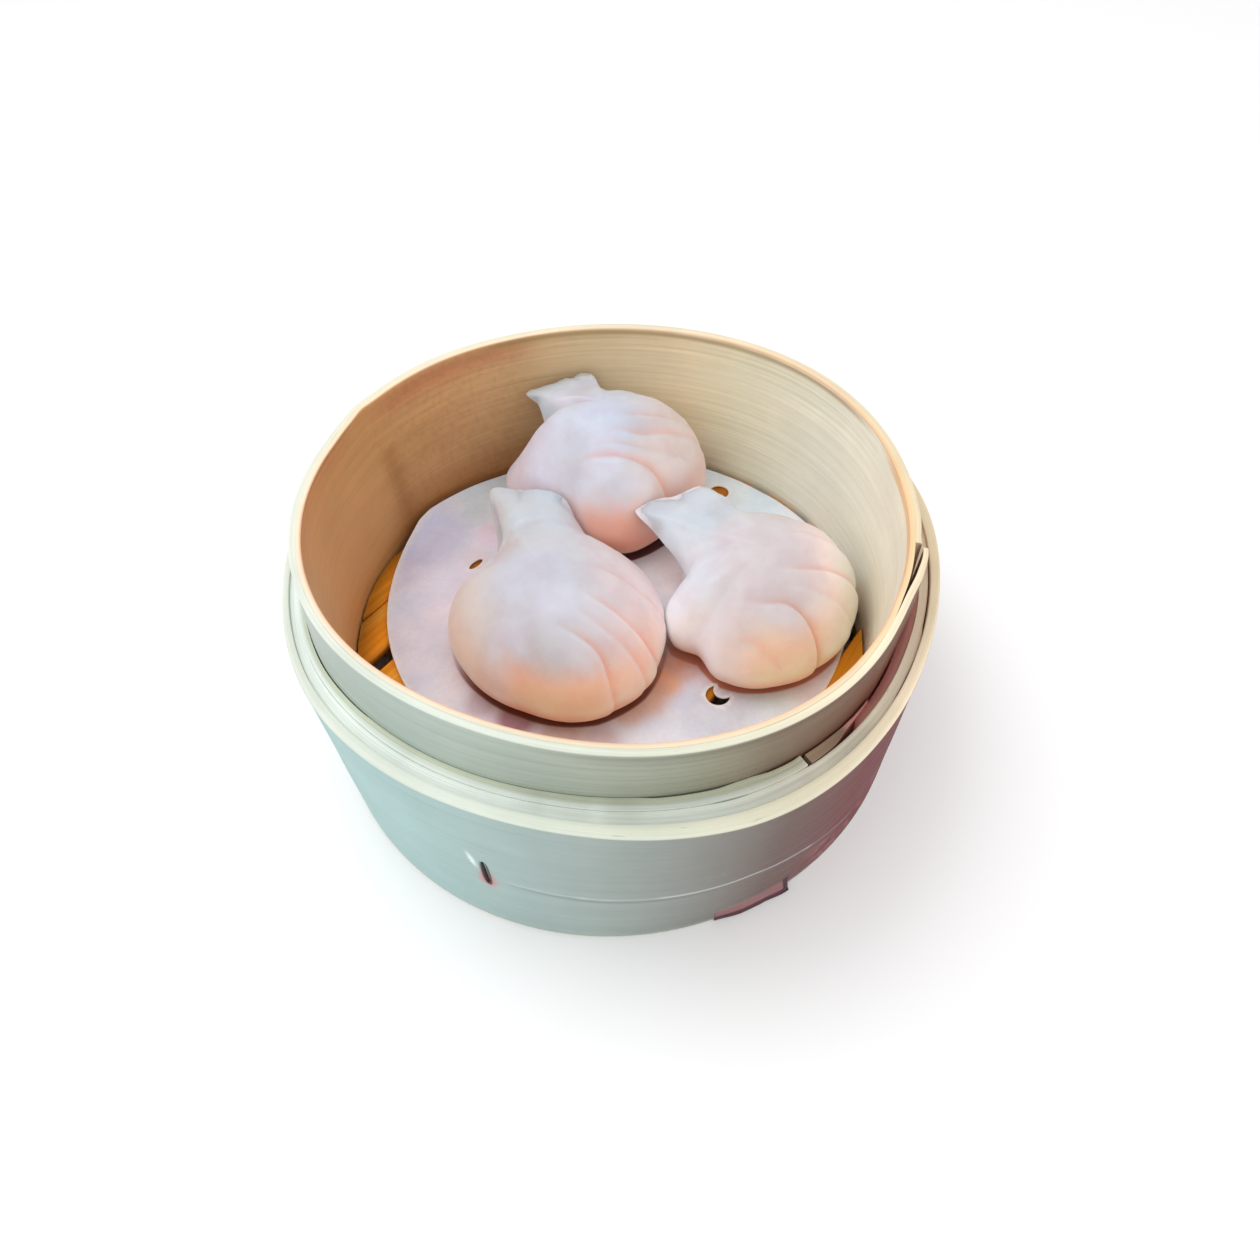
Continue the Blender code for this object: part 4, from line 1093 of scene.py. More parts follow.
def hole_outline(number):
    """A steam hole: round, or squeezed along a crease, or torn with a tongue left across it."""
    a = math.radians(HOLE_FIRST + 360.0 / HOLES * number)
    shift = HOLE_SHIFT.get(number, (0.0, 0.0))
    cx = HOLE_RING_CENTRE[0] + HOLE_RING_R * math.cos(a) + shift[0]
    cy = HOLE_RING_CENTRE[1] + HOLE_RING_R * math.sin(a) + shift[1]
    turn = np.radians(np.arange(HOLE_STEPS) * 360.0 / HOLE_STEPS)
    if number == CREASED_HOLE:
        along, wide = 2.5 * np.cos(turn), 1.0 * np.sin(turn)
        c, s = math.cos(CREASE_TURN), math.sin(CREASE_TURN)
        return np.stack([cx + along * c - wide * s, cy + along * s + wide * c], -1)
    if number == TORN_HOLE:
        rim = np.radians(np.linspace(99.0, 351.0, HOLE_STEPS))
        tongue = np.radians(np.linspace(-52.0, -218.0, HOLE_STEPS // 2))[1:-1]
        outer = [(cx + HOLE_R * math.cos(t), cy + HOLE_R * math.sin(t)) for t in rim]
        inner = [(cx + 1.5 + 2.5 * math.cos(t), cy + 1.5 + 2.5 * math.sin(t)) for t in tongue]
        return np.array(outer + inner)
    r = HOLE_R - 0.12 + 0.12 * round_noise(turn, number * 5.0, 5.0)
    return np.stack([cx + r * np.cos(turn), cy + r * np.sin(turn)], -1)


def inside(points, loop):
    """Which points a closed outline holds."""
    x, y = points[:, 0], points[:, 1]
    odd = np.zeros(len(points), bool)
    for (x0, y0), (x1, y1) in zip(loop, np.roll(loop, -1, 0)):
        cross = (y0 > y) != (y1 > y)
        reach = x0 + (y - y0) * (x1 - x0) / np.where(y1 == y0, 1e-9, y1 - y0)
        odd ^= cross & (x < reach)
    return odd


def near_loop(points, loop, gap):
    """Which points lie within this gap of an outline's own points."""
    return (np.hypot(points[:, None, 0] - loop[:, 0], points[:, None, 1] - loop[:, 1]).min(1)) < gap


# Clouds, stains, painted shadows in front of the dumplings and painted light where the paper lies in shade:
# (x, y, radius, colour, weight)
PAPER_STAINS_AND_SHADING = (
    (-36, 50, 13, (240, 250, 255), 0.9), (-53, 33, 11, (222, 224, 255), 0.8),
    (-34, 34, 6, (252, 226, 244), 0.7), (-58, 22, 7, (222, 216, 238), 0.7),
    (-48, -4, 14, (244, 228, 236), 0.6), (-48, 14, 9, (244, 234, 250), 0.6),
    (44, 50, 16, (228, 240, 248), 0.8), (12.5, -22, 5, (255, 172, 116), 0.85),
    (19, -18, 4, (222, 160, 130), 0.8), (8, -28, 5, (240, 190, 172), 0.7),
    (26, -21, 6, (240, 214, 214), 0.6), (14, 16, 9, (255, 240, 238), 0.7),
    (25, -32, 9, (214, 210, 216), 0.75), (40, -28, 6, (240, 250, 248), 0.8),
    (3, -31.5, 3.5, (240, 180, 148), 0.6), (8.5, -27, 3.5, (248, 190, 156), 0.6),
    (15, -15, 3.5, (232, 156, 116), 0.7), (-25, -32, 5, (172, 104, 116), 0.85),
    (-34, -27, 4, (186, 150, 156), 0.6), (-14, -38, 6, (214, 170, 150), 0.7),
    (-4, -40, 5, (220, 178, 178), 0.6),
)
# Part of its widest radius at which a dumpling's front meets the paper
FOOT_PART = 0.9


def foot_reach(spec, turn):
    """How far out from its centre a dumpling covers the paper: its foot at the front, its body elsewhere."""
    side = np.maximum(-np.sin(turn), 0.0)
    body = [row for row in spec["outline"] if row[3] < 0.5]
    out = between(np.degrees(turn) % 360.0, body, 360.0)
    return out * (FOOT_PART + (1.0 - FOOT_PART) * (1.0 - side))


def food_edge(x, y):
    """Distance out from the nearest dumpling's foot, how far that side faces the front, and the colour of its
    painted contact shadow.
    """
    nearest, facing, colour = np.full(x.shape, 99.0), np.zeros(x.shape), np.zeros((*x.shape, 3))
    for spec in (RIGHT, LEFT, BACK):
        dx, dy = x - spec["centre"][0], y - spec["centre"][1]
        turn = np.arctan2(dy, dx)
        gap = np.hypot(dx, dy) - foot_reach(spec, turn)
        facing = np.where(gap < nearest, np.maximum(-np.sin(turn), 0.0), facing)
        colour = np.where((gap < nearest)[..., None], srgb(*spec["contact_shadow"]), colour)
        nearest = np.minimum(nearest, gap)
    return nearest, facing, colour


def paper_tone(x, y):
    """Damp lavender-grey paper with pink and blue clouds, stains, painted shadows and painted light, and
    round the food warm painted shade and bounce and a painted contact shadow.
    """
    tone = np.broadcast_to(srgb(243, 241, 251), (*x.shape, 3))
    cloud = drift(x * 0.055 + 3.0, y * 0.055 + 8.0)
    tone = mix(tone, srgb(230, 232, 250), smooth(cloud * 2.0))
    tone = mix(tone, srgb(248, 234, 240), smooth(-cloud * 2.2))
    # Stains, painted shadows and painted light, one patch after another.
    for cx, cy, r, colour, weight in PAPER_STAINS_AND_SHADING:
        tone = mix(tone, srgb(*colour), weight * smooth(bell(np.hypot(x - cx, y - cy), r) * 1.4))
    gap, facing, colour = food_edge(x, y)
    # Warm painted shade and bounce light from the dumplings on the paper round their feet, then the dark
    # painted contact shadow right at the feet.
    tone = mix(tone, srgb(216, 164, 142), 0.28 * smooth((4.0 - gap) / 4.0) * (0.2 + 0.8 * facing))
    return mix(tone, colour, 0.95 * smooth((1.15 - gap) / 0.65) * (0.3 + 0.7 * smooth(facing * 1.6)))


def paper_cells(holes):
    """Points inside the paper: even ones, and rings that follow the feet of the dumplings."""
    rows = np.arange(-66, 67) * PAPER_STEP * math.sqrt(0.75)
    cells = [((c + 0.5 * (k % 2)) * PAPER_STEP, r) for k, r in enumerate(rows) for c in range(-58, 59)]
    cells = np.array(cells) + PAPER_CENTRE
    gap = food_edge(*cells.T)[0]
    cells = cells[(gap < -0.5) | (gap > 2.2)]
    around = np.radians(np.arange(0.0, 360.0, 1.2))
    for spec in (RIGHT, LEFT, BACK):
        for gap in (0.0, 0.45, 0.7, 0.9, 1.2, 1.7):
            r = foot_reach(spec, around) + gap
            ring = np.stack([r * np.cos(around), r * np.sin(around)], -1) + spec["centre"]
            cells = np.concatenate([cells, ring[np.abs(food_edge(*ring.T)[0] - gap) < 0.02]])
    x, y = cells.T
    bound = paper_edge(np.arctan2(y - PAPER_CENTRE[1], x - PAPER_CENTRE[0]))
    cells = cells[from_centre(x, y) < bound - 0.8]
    for hole in holes:
        cells = cells[~inside(cells, hole) & ~near_loop(cells, hole, 0.55)]
    return cells


def sheet(rim, holes, cells):
    """Flat points and triangles of a sheet with holes, the triangles all turning the same way."""
    edges, start = [], 0
    for loop in (rim, *holes):
        n = len(loop)
        edges += [(start + k, start + (k + 1) % n) for k in range(n)]
        start += n
    flat = [Vector(p) for p in np.concatenate([rim, *holes, cells]).tolist()]
    made = geometry.delaunay_2d_cdt(flat, edges, [], 0, 1e-5)
    flat = np.array([tuple(p) for p in made[0]])
    faces = np.array([tuple(f) for f in made[2] if len(f) == 3])
    middle = flat[faces].mean(1)
    kept = inside(middle, rim)
    for hole in holes:
        kept &= ~inside(middle, hole)
    faces = faces[kept]
    p, q, r = flat[faces[:, 0]], flat[faces[:, 1]], flat[faces[:, 2]]
    area = (q[:, 0] - p[:, 0]) * (r[:, 1] - p[:, 1]) - (q[:, 1] - p[:, 1]) * (r[:, 0] - p[:, 0])
    faces[area < 0] = faces[area < 0][:, ::-1]
    return flat, faces.tolist()


def paper():
    """The perforated round: an upper and a lower side, joined along every edge."""
    turn = np.radians(np.arange(360))
    edge = paper_edge(turn)
    rim = np.stack([PAPER_CENTRE[0] + edge * np.cos(turn), PAPER_CENTRE[1] + edge * np.sin(turn)], -1)
    holes = [hole_outline(n) for n in range(HOLES)]
    flat, faces = sheet(rim, holes, paper_cells(holes))
    count = len(flat)
    x, y = flat.T
    low = PAPER_FOOT + paper_lift(x, y)
    points = np.concatenate([np.column_stack([x, y, low]), np.column_stack([x, y, low + PAPER_THICK])])
    shell = [tuple(v + count for v in f) for f in faces] + [tuple(f[::-1]) for f in faces]
    sides = dict.fromkeys(pair for a, b, c in faces for pair in ((a, b), (b, c), (c, a)))
    shell += [(a, b, b + count, a + count) for a, b in sides if (b, a) not in sides]
    # Painted highlight along the paper's edge and round the holes.
    worn = smooth((from_centre(x, y) - PAPER_R + 1.6) / 1.2)
    for hole in holes:
        worn = np.maximum(worn, 0.8 * near_loop(flat, hole, 0.8))
    tone = mix(paper_tone(x, y), srgb(255, 246, 240), 0.9 * worn)
    piece("paper_round", points, shell, "paper_liner", paper_look(), np.concatenate([tone, tone]))


# ---------------------------------------------------------------- dumplings

# Side view of the plain pouch from the crown, round the widest line, to the middle of its flat
# foot: (part of the radius, part of the height)
POUCH = (
    (0.0, 1.0), (0.26, 0.98), (0.50, 0.91), (0.70, 0.79), (0.86, 0.63), (0.96, 0.46),
    (1.0, 0.32), (0.985, 0.19), (0.93, 0.09), (0.82, 0.02), (0.50, 0.0), (0.0, 0.0),
)
FLAP_THICK = 1.2
AROUND = 420
SPAN_POINTS = 12
SPAN_POINTS_BELOW = 6

# What makes each dumpling its own, in millimetres from its centre:
# - fullness: how full the pouch's shoulder is, by angle, where 1 is the plain side view above
# - outline: (angle, widest radius, height of that line, how much it is flap)
# - pleats, and the lighter creases between them: the points each runs through from the crown's
#   foot, its depth, its width, and which side laps over it (1 is left of its run, -1 right)
# - peach: where the filling's colour starts, as a part of the height, and over how much it comes in
# - tints_and_highlights: soft tints and painted highlights on the upper skin, as (x, y, radius, colour,
#   weight)
# - colours: the skin's tones, which carry painted light and shade: bluish where light falls at the top and
#   left, pink in painted shade at the right, and low and foot deepened with painted shade. contact_shadow:
#   the colour of the painted shadow at the foot, on the skin and on the paper
RIGHT = {
    "centre": (40.0, -1.0),
    "height": 27.0, "body_r": 24.0, "neck": 18.0, "neck_height": 24.0,
    "fullness": ((0, 1.0),),
    "outline": (
        (20, 25.8, 9.0, 0.0), (82, 25.5, 11.0, 0.0), (100, 25.5, 18.0, 0.4), (110, 27.5, 22.0, 0.9),
        (119, 31.5, 22.5, 1.0), (132, 34.0, 21.5, 1.0), (146, 40.0, 19.5, 1.0), (150, 34.0, 18.0, 1.0),
        (156, 25.0, 15.0, 0.7), (163, 20.8, 11.5, 0.3), (174, 22.2, 9.5, 0.0), (193, 27.3, 8.5, 0.0),
        (206, 28.4, 8.0, 0.0), (221, 25.3, 7.5, 0.0), (240, 28.6, 8.5, 0.0), (252, 28.5, 8.5, 0.0),
        (280, 26.6, 8.5, 0.0), (312, 24.8, 8.5, 0.0), (340, 24.4, 8.5, 0.0),
    ),
    "pleats": (
        (((-2, -7), (6, -6.5), (15, -4.5), (22, -2.5), (28, -1)), 1.5, 2.6, -1),
        (((-14, -13), (-4, -15.5), (2, -15.5), (7, -18), (10.5, -22), (12, -27)), 2.6, 2.3, -1),
        (((-11, -21.5), (-7, -23), (-1, -26)), 0.7, 2.4, -1),
    ),
    "creases": (
        (((2, 5), (10, 6.5), (18, 7), (26, 6)), 0.8, 1.9, -1),
        (((-1, 11), (7, 14), (15, 16), (22, 16)), 0.6, 1.9, -1),
        (((0, -10.5), (8, -11.5), (16, -12), (24, -13)), 0.5, 1.7, -1),
        (((-16, 14), (-12, 17), (-6, 22)), 0.6, 2.0, 1),
    ),
    "peach": (0.88, 0.34),
    "contact_shadow": (200, 124, 98),
    "colours": {
        "top": (206, 199, 203), "left": (206, 212, 224),
        "right": (252, 233, 230), "low": (229, 200, 180),
        "foot": (224, 138, 98),
    },
    "tints_and_highlights": (
        (-12, 14, 12, (204, 203, 208), 0.6),
        (-22, -9, 6, (212, 218, 226), 0.7),
        (22, -12, 8, (240, 208, 180), 0.3),
    ),
}
LEFT = {
    "centre": (-15.5, -8.0),
    "height": 28.5, "body_r": 26.0, "neck": 18.5, "neck_height": 25.3,
    "fullness": ((0, 0.97), (20, 0.93), (50, 0.92), (75, 0.97), (120, 1.0), (300, 1.0)),
    "outline": (
        (10, 28.8, 9.5, 0.0), (66, 28.8, 10.5, 0.1), (79, 32.0, 17.0, 0.7), (87, 36.2, 20.2, 1.0),
        (105, 40.5, 20.0, 1.0), (113, 44.0, 18.5, 1.0), (117, 37.5, 17.5, 1.0), (122, 29.0, 15.0, 0.8),
        (130, 25.0, 12.5, 0.3), (146, 24.6, 10.5, 0.0), (170, 27.2, 9.5, 0.0), (222, 26.0, 8.5, 0.0),
        (250, 26.4, 8.5, 0.0), (292, 30.5, 9.0, 0.0), (320, 31.0, 9.0, 0.0), (344, 29.6, 9.0, 0.0),
    ),
    "pleats": (
        (((6, -5), (13.5, -8.5), (23, -13.5), (28, -16)), 1.4, 2.6, -1),
        (((1, -14.5), (8, -17.5), (12.5, -20.5), (15, -26)), 2.1, 2.4, -1),
        (((-13, -13), (-9, -19), (-5, -25)), 0.3, 3.2, 1),
    ),
    "creases": (
        (((8, 3), (15, 2), (23, 0), (29, -2)), 0.7, 1.9, -1),
        (((4, -9.5), (12, -14), (20, -18.5), (25, -22)), 0.7, 1.8, -1),
        (((6, 11), (14, 12), (22, 11)), 0.5, 1.9, -1),
        (((-8.4, -12), (-4, -18), (0.4, -24)), 0.25, 2.2, 1),
        (((-11, 19), (-6, 20.5), (-1, 23)), 0.6, 1.6, 1),
    ),
    "peach": (0.78, 0.28),
    "contact_shadow": (132, 64, 40),
    "colours": {
        "top": (194, 194, 200), "left": (212, 208, 208),
        "right": (217, 200, 203), "low": (234, 190, 166),
        "foot": (248, 120, 64),
    },
    "tints_and_highlights": (
        (-3, -2, 10, (192, 196, 210), 0.6),
        (-10, -17, 5, (212, 216, 230), 0.6),
        (3, -10, 4, (206, 212, 228), 0.7),
        (-22, -8, 8, (218, 212, 208), 0.5),
        (6, -13, 8, (206, 208, 218), 0.5),
    ),
}
BACK = {
    "centre": (-1.0, 46.0),
    "height": 37.0, "body_r": 21.5, "neck": 12.0, "neck_height": 34.5,
    "fullness": ((12, 1.05), (50, 1.07), (80, 1.0), (135, 0.9), (150, 0.82),
                 (172, 0.84), (195, 0.94), (230, 1.0), (345, 1.0)),
    "outline": (
        (2, 29.8, 12.0, 0.0), (24, 27.3, 14.0, 0.0), (50, 22.8, 15.5, 0.0), (76, 21.0, 20.0, 0.1),
        (88, 20.8, 27.0, 0.7), (99, 21.6, 31.5, 1.0), (130, 24.4, 30.0, 1.0), (143, 28.0, 28.5, 1.0),
        (147, 22.5, 28.0, 1.0), (152, 18.8, 23.0, 0.5), (158, 21.5, 16.0, 0.08), (170, 28.0, 12.5, 0.0),
        (180, 29.3, 12.0, 0.0), (205, 25.5, 11.0, 0.0), (224, 22.4, 11.0, 0.0), (240, 22.2, 11.0, 0.0),
        (262, 25.3, 11.0, 0.0), (284, 27.4, 11.0, 0.0), (310, 26.2, 11.0, 0.0), (340, 28.2, 11.0, 0.0),
    ),
    "pleats": (
        (((-1, -9), (5, -9.2), (11, -8.8), (18.5, -5), (28, 1)), 1.2, 2.6, -1),
        (((-11, -13), (-3, -15.5), (5, -16.2), (13, -16), (18.5, -19)), 1.8, 2.4, -1),
        (((-5.5, -19.5), (1.5, -23.7), (5, -27)), 0.3, 2.4, -1),
    ),
    "creases": (
        (((2, -4), (9, -3.5), (16, -1), (24, 3)), 0.7, 1.8, -1),
        (((-6, -12.5), (2, -12.8), (10, -12.5), (19, -10)), 0.6, 1.6, -1),
        (((4, 6), (11, 8), (18, 10)), 0.5, 1.8, -1),
        (((-14, -16), (-9, -20), (-6, -25)), 0.3, 2.2, 1),
    ),
    "peach": (0.70, 0.30),
    "contact_shadow": (100, 30, 22),
    "colours": {
        "top": (190, 193, 202), "left": (200, 203, 216),
        "right": (208, 196, 194), "low": (204, 156, 138),
        "foot": (216, 132, 108),
    },
    "tints_and_highlights": (
        (0, -6, 8, (196, 204, 222), 0.7),
        (-20, -4, 10, (204, 208, 224), 0.5),
        (0, -15, 5, (210, 216, 230), 0.6),
    ),
}


def round_curve(angles, rows, which):
    """Smooth closed curve through one field of an outline's rows, without overshoot."""
    at, value = wrapped(*np.array([(row[0], row[which]) for row in rows], float).T)
    slope = np.zeros(len(at))
    for i in range(1, len(at) - 1):
        before = (value[i] - value[i - 1]) / (at[i] - at[i - 1])
        after = (value[i + 1] - value[i]) / (at[i + 1] - at[i])
        if before * after > 0:
            slope[i] = 2 * before * after / (before + after)
    x = np.asarray(angles) % 360.0
    i = np.searchsorted(at, x, side="right") - 1
    h = at[i + 1] - at[i]
    return hermite((x - at[i]) / h, value[i], h * slope[i], value[i + 1], h * slope[i + 1])


def through(control, count, below):
    """Catmull-Rom points along control points, count to each span and below past their middle."""
    control = np.asarray(control, float)
    padded = np.concatenate([[2 * control[0] - control[1]], control, [2 * control[-1] - control[-2]]])
    found = []
    for i in range(len(control) - 1):
        p0, p1, p2, p3 = padded[i : i + 4]
        steps = count if i <= len(control) // 2 else below
        for s in np.arange(steps) / steps:
            bend = (2 * p0 - 5 * p1 + 4 * p2 - p3) * s**2 + (3 * p1 - p0 - 3 * p2 + p3) * s**3
            found.append(0.5 * (2 * p1 + (p2 - p0) * s + bend))
    found.append(control[-1])
    return np.array(found)


def flap_profile(radius, tip, spec):
    """Side view through the flap: crown, neck, flap, its underside, then the pouch below."""
    height, low = spec["height"], spec["neck_height"]
    neck, body = spec["neck"], spec["body_r"]
    half = FLAP_THICK / 2
    drop = height - low
    middle = (neck + radius) / 2
    rise = (low * 0.35 + (tip + half) * 0.65) + 0.9
    return (
        (0.0, height),
        (0.30 * neck, low + 0.93 * drop),
        (0.57 * neck, low + 0.73 * drop),
        (0.82 * neck, low + 0.36 * drop),
        (neck, low),
        (middle, rise),
        (radius, tip),
        (middle, rise - FLAP_THICK - 0.2),
        (neck + 1.0, min(low, tip + half) - FLAP_THICK - 1.6),
        (0.95 * body, 0.22 * height),
        (0.62 * body, 0.0),
        (0.0, 0.0),
    )


def pleat_press(x, y, pleats, sharp):
    """How far the pleats press in at x, y, and how near their fold lines the point is.

    sharp is how steep a pleat is on the side that is lapped over, as a part of its width.
    """
    total = np.zeros_like(x)
    line_near = np.zeros_like(x)
    for points, depth, width, lap in pleats:
        line = through(points, SPAN_POINTS, SPAN_POINTS)
        run = np.gradient(line, axis=0)
        away_x, away_y = x[..., None] - line[:, 0], y[..., None] - line[:, 1]
        gap = np.hypot(away_x, away_y)
        nearest = gap.argmin(-1)
        gap = gap.min(-1)
        dx = np.take_along_axis(away_x, nearest[..., None], -1)[..., 0]
        dy = np.take_along_axis(away_y, nearest[..., None], -1)[..., 0]
        side = np.sign(run[nearest, 0] * dy - run[nearest, 1] * dx) * lap
        along = nearest / (len(line) - 1.0)
        strength = smooth(along / 0.45) * (1.0 - 0.5 * smooth((along - 0.7) / 0.3))
        total += depth * strength * bell(gap, np.where(side > 0, sharp, 1.5) * width)
        crest = bell(gap - 1.7 * width, 1.3 * width)
        total -= 0.25 * depth * strength * np.where(side > 0, crest, 0.0)
        fold = bell(gap, np.where(side > 0, 0.45, 1.2))
        line_near = np.maximum(line_near, min(1.0, depth / 1.6) * strength * fold)
    return total, line_near


def outward(grid):
    """Unit normal at each point of a grid of columns that run down from the crown."""
    along = np.gradient(grid, axis=1)
    turn = np.roll(grid, -1, 0) - np.roll(grid, 1, 0)
    normal = -np.cross(turn, along)
    normal = normal / np.maximum(np.linalg.norm(normal, axis=2, keepdims=True), 1e-9)
    normal[:, 0], normal[:, -1] = normal[:, 1], normal[:, -2]
    return normal


def filled(part, up, fullness):
    """The pouch's radius at this part of the height, with its shoulder fuller or flatter."""
    return part * (1.0 + (fullness - 1.0) * smooth((up - 0.3) / 0.3))


def plain_form(spec, seed):
    """(angles, flap by angle, grid of points) of a dumpling before its pleats, column by column."""
    angles = np.arange(AROUND) * 360.0 / AROUND
    radius, tip, flap = (round_curve(angles, spec["outline"], which) for which in (1, 2, 3))
    flap = np.clip(flap, 0.0, 1.0)
    ruffle = flap * (0.30 * value_noise(angles * 0.16, seed) + 0.10 * value_noise(angles * 0.45, seed + 4.0))
    full = between(angles, spec["fullness"], 360.0)
    columns = []
    for t, r, e, w, u, f in zip(np.radians(angles), radius, tip, flap, ruffle, full):
        plain = [(filled(q, h, f) * r, h * spec["height"]) for q, h in POUCH]
        eared = flap_profile(r + 0.6 * u, e + u, spec)
        mixed = [(p[0] * (1 - w) + q[0] * w, p[1] * (1 - w) + q[1] * w) for p, q in zip(plain, eared)]
        curve = through(mixed, SPAN_POINTS, SPAN_POINTS_BELOW)
        columns.append(np.column_stack([curve[:, 0] * math.cos(t), curve[:, 0] * math.sin(t), curve[:, 1]]))
    grid = np.array(columns)
    grid[:, :, 2] = np.maximum(grid[:, :, 2], 0.0)
    return angles[:, None], flap[:, None], grid


def dumpling_skin(spec, seed):
    """(grid of points, pressed in, nearness to a fold, flap), angle by row from the crown down."""
    angles, flap, grid = plain_form(spec, seed)
    x, y, z = grid[:, :, 0], grid[:, :, 1], grid[:, :, 2]
    r = np.hypot(x, y)
    deep, deep_line = pleat_press(x, y, spec["pleats"], 0.35)
    light, light_line = pleat_press(x, y, spec["creases"], 0.45)
    fade = np.clip((z - 1.0) / 6.0, 0.0, 1.0)
    pleated = (0.62 * deep + 0.8 * light) * fade * np.clip(r / 6.0, 0.0, 1.0)
    lumps = 0.26 * drift(x * 0.09 + seed * 3.1, y * 0.09 + z * 0.05) + 0.10 * drift(x * 0.3, y * 0.3 + seed)
    around_crown = np.radians(angles) * 9.0 + 0.06 * r
    gathers = 0.05 * bell(r - 9.0, 6.0) * np.sin(around_crown + 2.0 * drift(x * 0.1, y * 0.1))
    fan = flap * smooth((r - 16.0) / 8.0) * 0.14 * value_noise(angles * 0.22, r * 0.05 + seed)
    press = pleated + gathers * (1.0 - 0.5 * flap) + fan - lumps * fade
    press[:, 0] = 0.0
    moved = grid - outward(grid) * press[:, :, None]
    moved[:, :, 2] = np.maximum(moved[:, :, 2], 0.0)
    return moved, pleated, np.maximum(deep_line, light_line) * fade, np.broadcast_to(flap, r.shape)


def skin_tone(spec, grid, press, folds, flap, seed):
    """Milky skin: bluish on top and to the left where painted light falls, pink in painted shade to the
    right, peach where the filling shows low down, deepened with painted shade at the front and foot.
    """
    x, y, z = grid[:, :, 0], grid[:, :, 1], grid[:, :, 2]
    normal = outward(grid)
    facing_up = normal[:, :, 2]
    up = z / spec["height"]
    cloud = drift(x * 0.09 + seed, y * 0.09 + z * 0.05)
    tint = {key: srgb(*colour) for key, colour in spec["colours"].items()}
    aside = x / spec["body_r"]
    across = (0.95 * x - 0.15 * y) / spec["body_r"] + 0.15 * cloud
    start, span = spec["peach"]
    tone = np.broadcast_to(tint["top"], grid.shape)
    tone = mix(tone, tint["left"], smooth((-across - 0.25) / 0.6))
    tone = mix(tone, tint["right"], smooth((across - 0.15) / 0.7))
    # Soft tints and painted highlights, laid on the parts that face up.
    for cx, cy, r, colour, weight in spec["tints_and_highlights"]:
        spot = smooth(bell(np.hypot(x - cx, y - cy), r) * 1.5)
        tone = mix(tone, srgb(*colour), weight * spot * smooth((facing_up + 0.2) * 2.0))
    front = smooth(0.25 - 0.9 * normal[:, :, 1])
    low = smooth((start - up + 0.08 * cloud) / span)
    pale = 1.0 - 0.75 * smooth((-aside - 0.15) / 0.4) - 0.3 * smooth((aside - 0.3) / 0.4)
    foot = smooth((0.35 - up + 0.06 * cloud) / 0.29)
    deeper = smooth((0.75 - up) / 0.5)
    # Peach where the filling shows low down and orange at the foot, both deepened at the front with painted
    # shade.
    tone = mix(tone, tint["low"], low * (0.12 + 0.88 * front) * pale)
    tone = mix(tone, tint["foot"], foot * (0.15 + 0.85 * front) * pale**0.5)
    # Painted shade in the pleat valleys and along the fold lines, a painted highlight on the raised ridges,
    # the flap's bluish tint, and painted shade on the parts that face down.
    tone = washed(
        tone,
        ((240, 178, 154), 0.25 * smooth((press - 0.2) / 1.4) * deeper),
        ((228, 140, 92), (0.35 + 0.45 * deeper) * folds),
        ((216, 220, 234), 0.4 * smooth((-press - 0.05) / 0.4) * (1.0 - low)),
        ((192, 202, 210), 0.8 * flap * smooth((np.hypot(x, y) - 12.0) / 8.0)),
        ((232, 176, 150), 0.8 * smooth((-facing_up - 0.1) / 0.4) * (1.0 - 0.8 * flap)),
    )
    # Painted light: the sides and the parts that face down are made up to half again lighter, so the shading
    # stays flat.
    tone = np.minimum(tone * (1.0 + 0.5 * smooth(1.0 - facing_up))[..., None], 0.97)
    # Painted contact shadow along the bottom of the skin, strongest at the front.
    return mix(tone, srgb(*spec["contact_shadow"]), 0.9 * smooth((3.9 - z) / 1.1) * (0.2 + 0.8 * front))


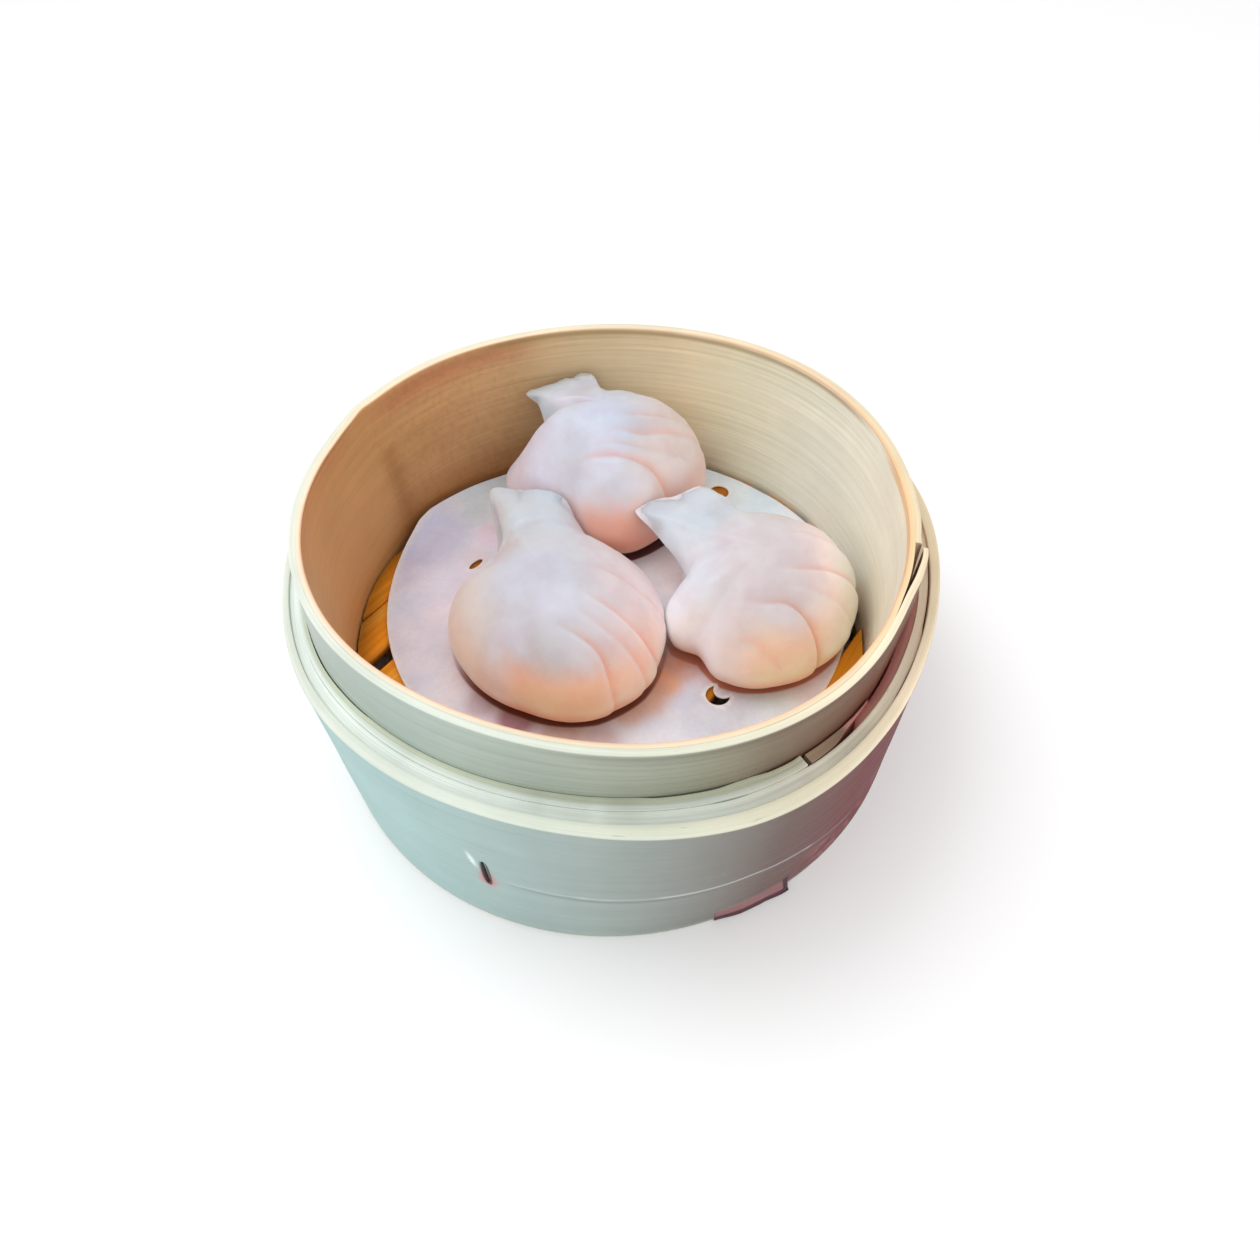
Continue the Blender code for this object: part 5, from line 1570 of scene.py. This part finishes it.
def dumpling(name, node, spec, seed, look):
    """A dumpling's skin, closed by one point at its crown and one in the middle of its foot."""
    grid, press, folds, flap = dumpling_skin(spec, seed)
    tone = skin_tone(spec, grid, press, folds, flap, seed)
    grid = grid + np.array((*spec["centre"], REST_Z))
    points, tones = (
        np.concatenate([lot[0, :1], lot[:, 1:-1].reshape(-1, 3), lot[0, -1:]]) for lot in (grid, tone)
    )
    rows = grid.shape[1] - 2
    last = len(points) - 1

    def at(i, j):
        return 1 + (i % AROUND) * rows + j

    faces = []
    for i in range(AROUND):
        faces.append((0, at(i, 0), at(i + 1, 0)))
        faces.append((last, at(i + 1, rows - 1), at(i, rows - 1)))
        for j in range(rows - 1):
            faces.append((at(i, j), at(i, j + 1), at(i + 1, j + 1), at(i + 1, j)))
    piece(name, points, faces, node, look, tones)


def dumplings():
    look = skin_look()
    dumpling("har_gow_right", "dumpling_right", RIGHT, 1.0, look)
    dumpling("har_gow_left", "dumpling_left", LEFT, 2.0, look)
    dumpling("har_gow_back", "dumpling_back", BACK, 3.0, look)


paper()
dumplings()

# ---------------------------------------------------------------- stage

FLOOR_HALF = 6.0
FLOOR_DROP = 0.0002
FLOOR_COLOUR = (0.94, 0.94, 0.94, 1.0)
WHITE = (1.0, 1.0, 1.0, 1.0)


def stage():
    """A wide pale floor just under the basket's foot."""
    mesh = bpy.data.meshes.new("floor")
    corners = [(x * FLOOR_HALF, y * FLOOR_HALF, 0) for x, y in ((-1, -1), (1, -1), (1, 1), (-1, 1))]
    mesh.from_pydata(corners, [], [(0, 1, 2, 3)])
    floor = add_object("floor", mesh)
    floor.location.z = -FLOOR_DROP
    mesh.materials.append(Look("floor_paint", Roughness=0.9, Specular_IOR_Level=0.1,
                               Base_Color=FLOOR_COLOUR).material)


def area_light(name, at, aim, size, power, colour):
    data = bpy.data.lights.new(name, "AREA")
    data.shape = "DISK"
    data.size = size
    data.energy = power
    data.color = colour
    light = add_object(name, data)
    light.location = at
    light.rotation_euler = (Vector(aim) - Vector(at)).to_track_quat("-Z", "Y").to_euler()


def lights():
    """A soft key from the left and back, a weak fill from the front, and white air all round."""
    area_light("key", (-0.24, 0.14, 0.58), (0, 0.01, 0.03), 0.40, 1.1, (0.98, 0.985, 1.0))
    area_light("fill", (0.15, -0.50, 0.50), (0, 0, 0.03), 0.5, 0.3, (1.0, 0.98, 0.96))
    world = bpy.data.worlds.new("studio")
    world.use_nodes = True
    background = world.node_tree.nodes["Background"]
    background.inputs["Color"].default_value = WHITE
    background.inputs["Strength"].default_value = 1.0
    bpy.context.scene.world = world
    bpy.context.scene.view_settings.view_transform = "Standard"


stage()
lights()
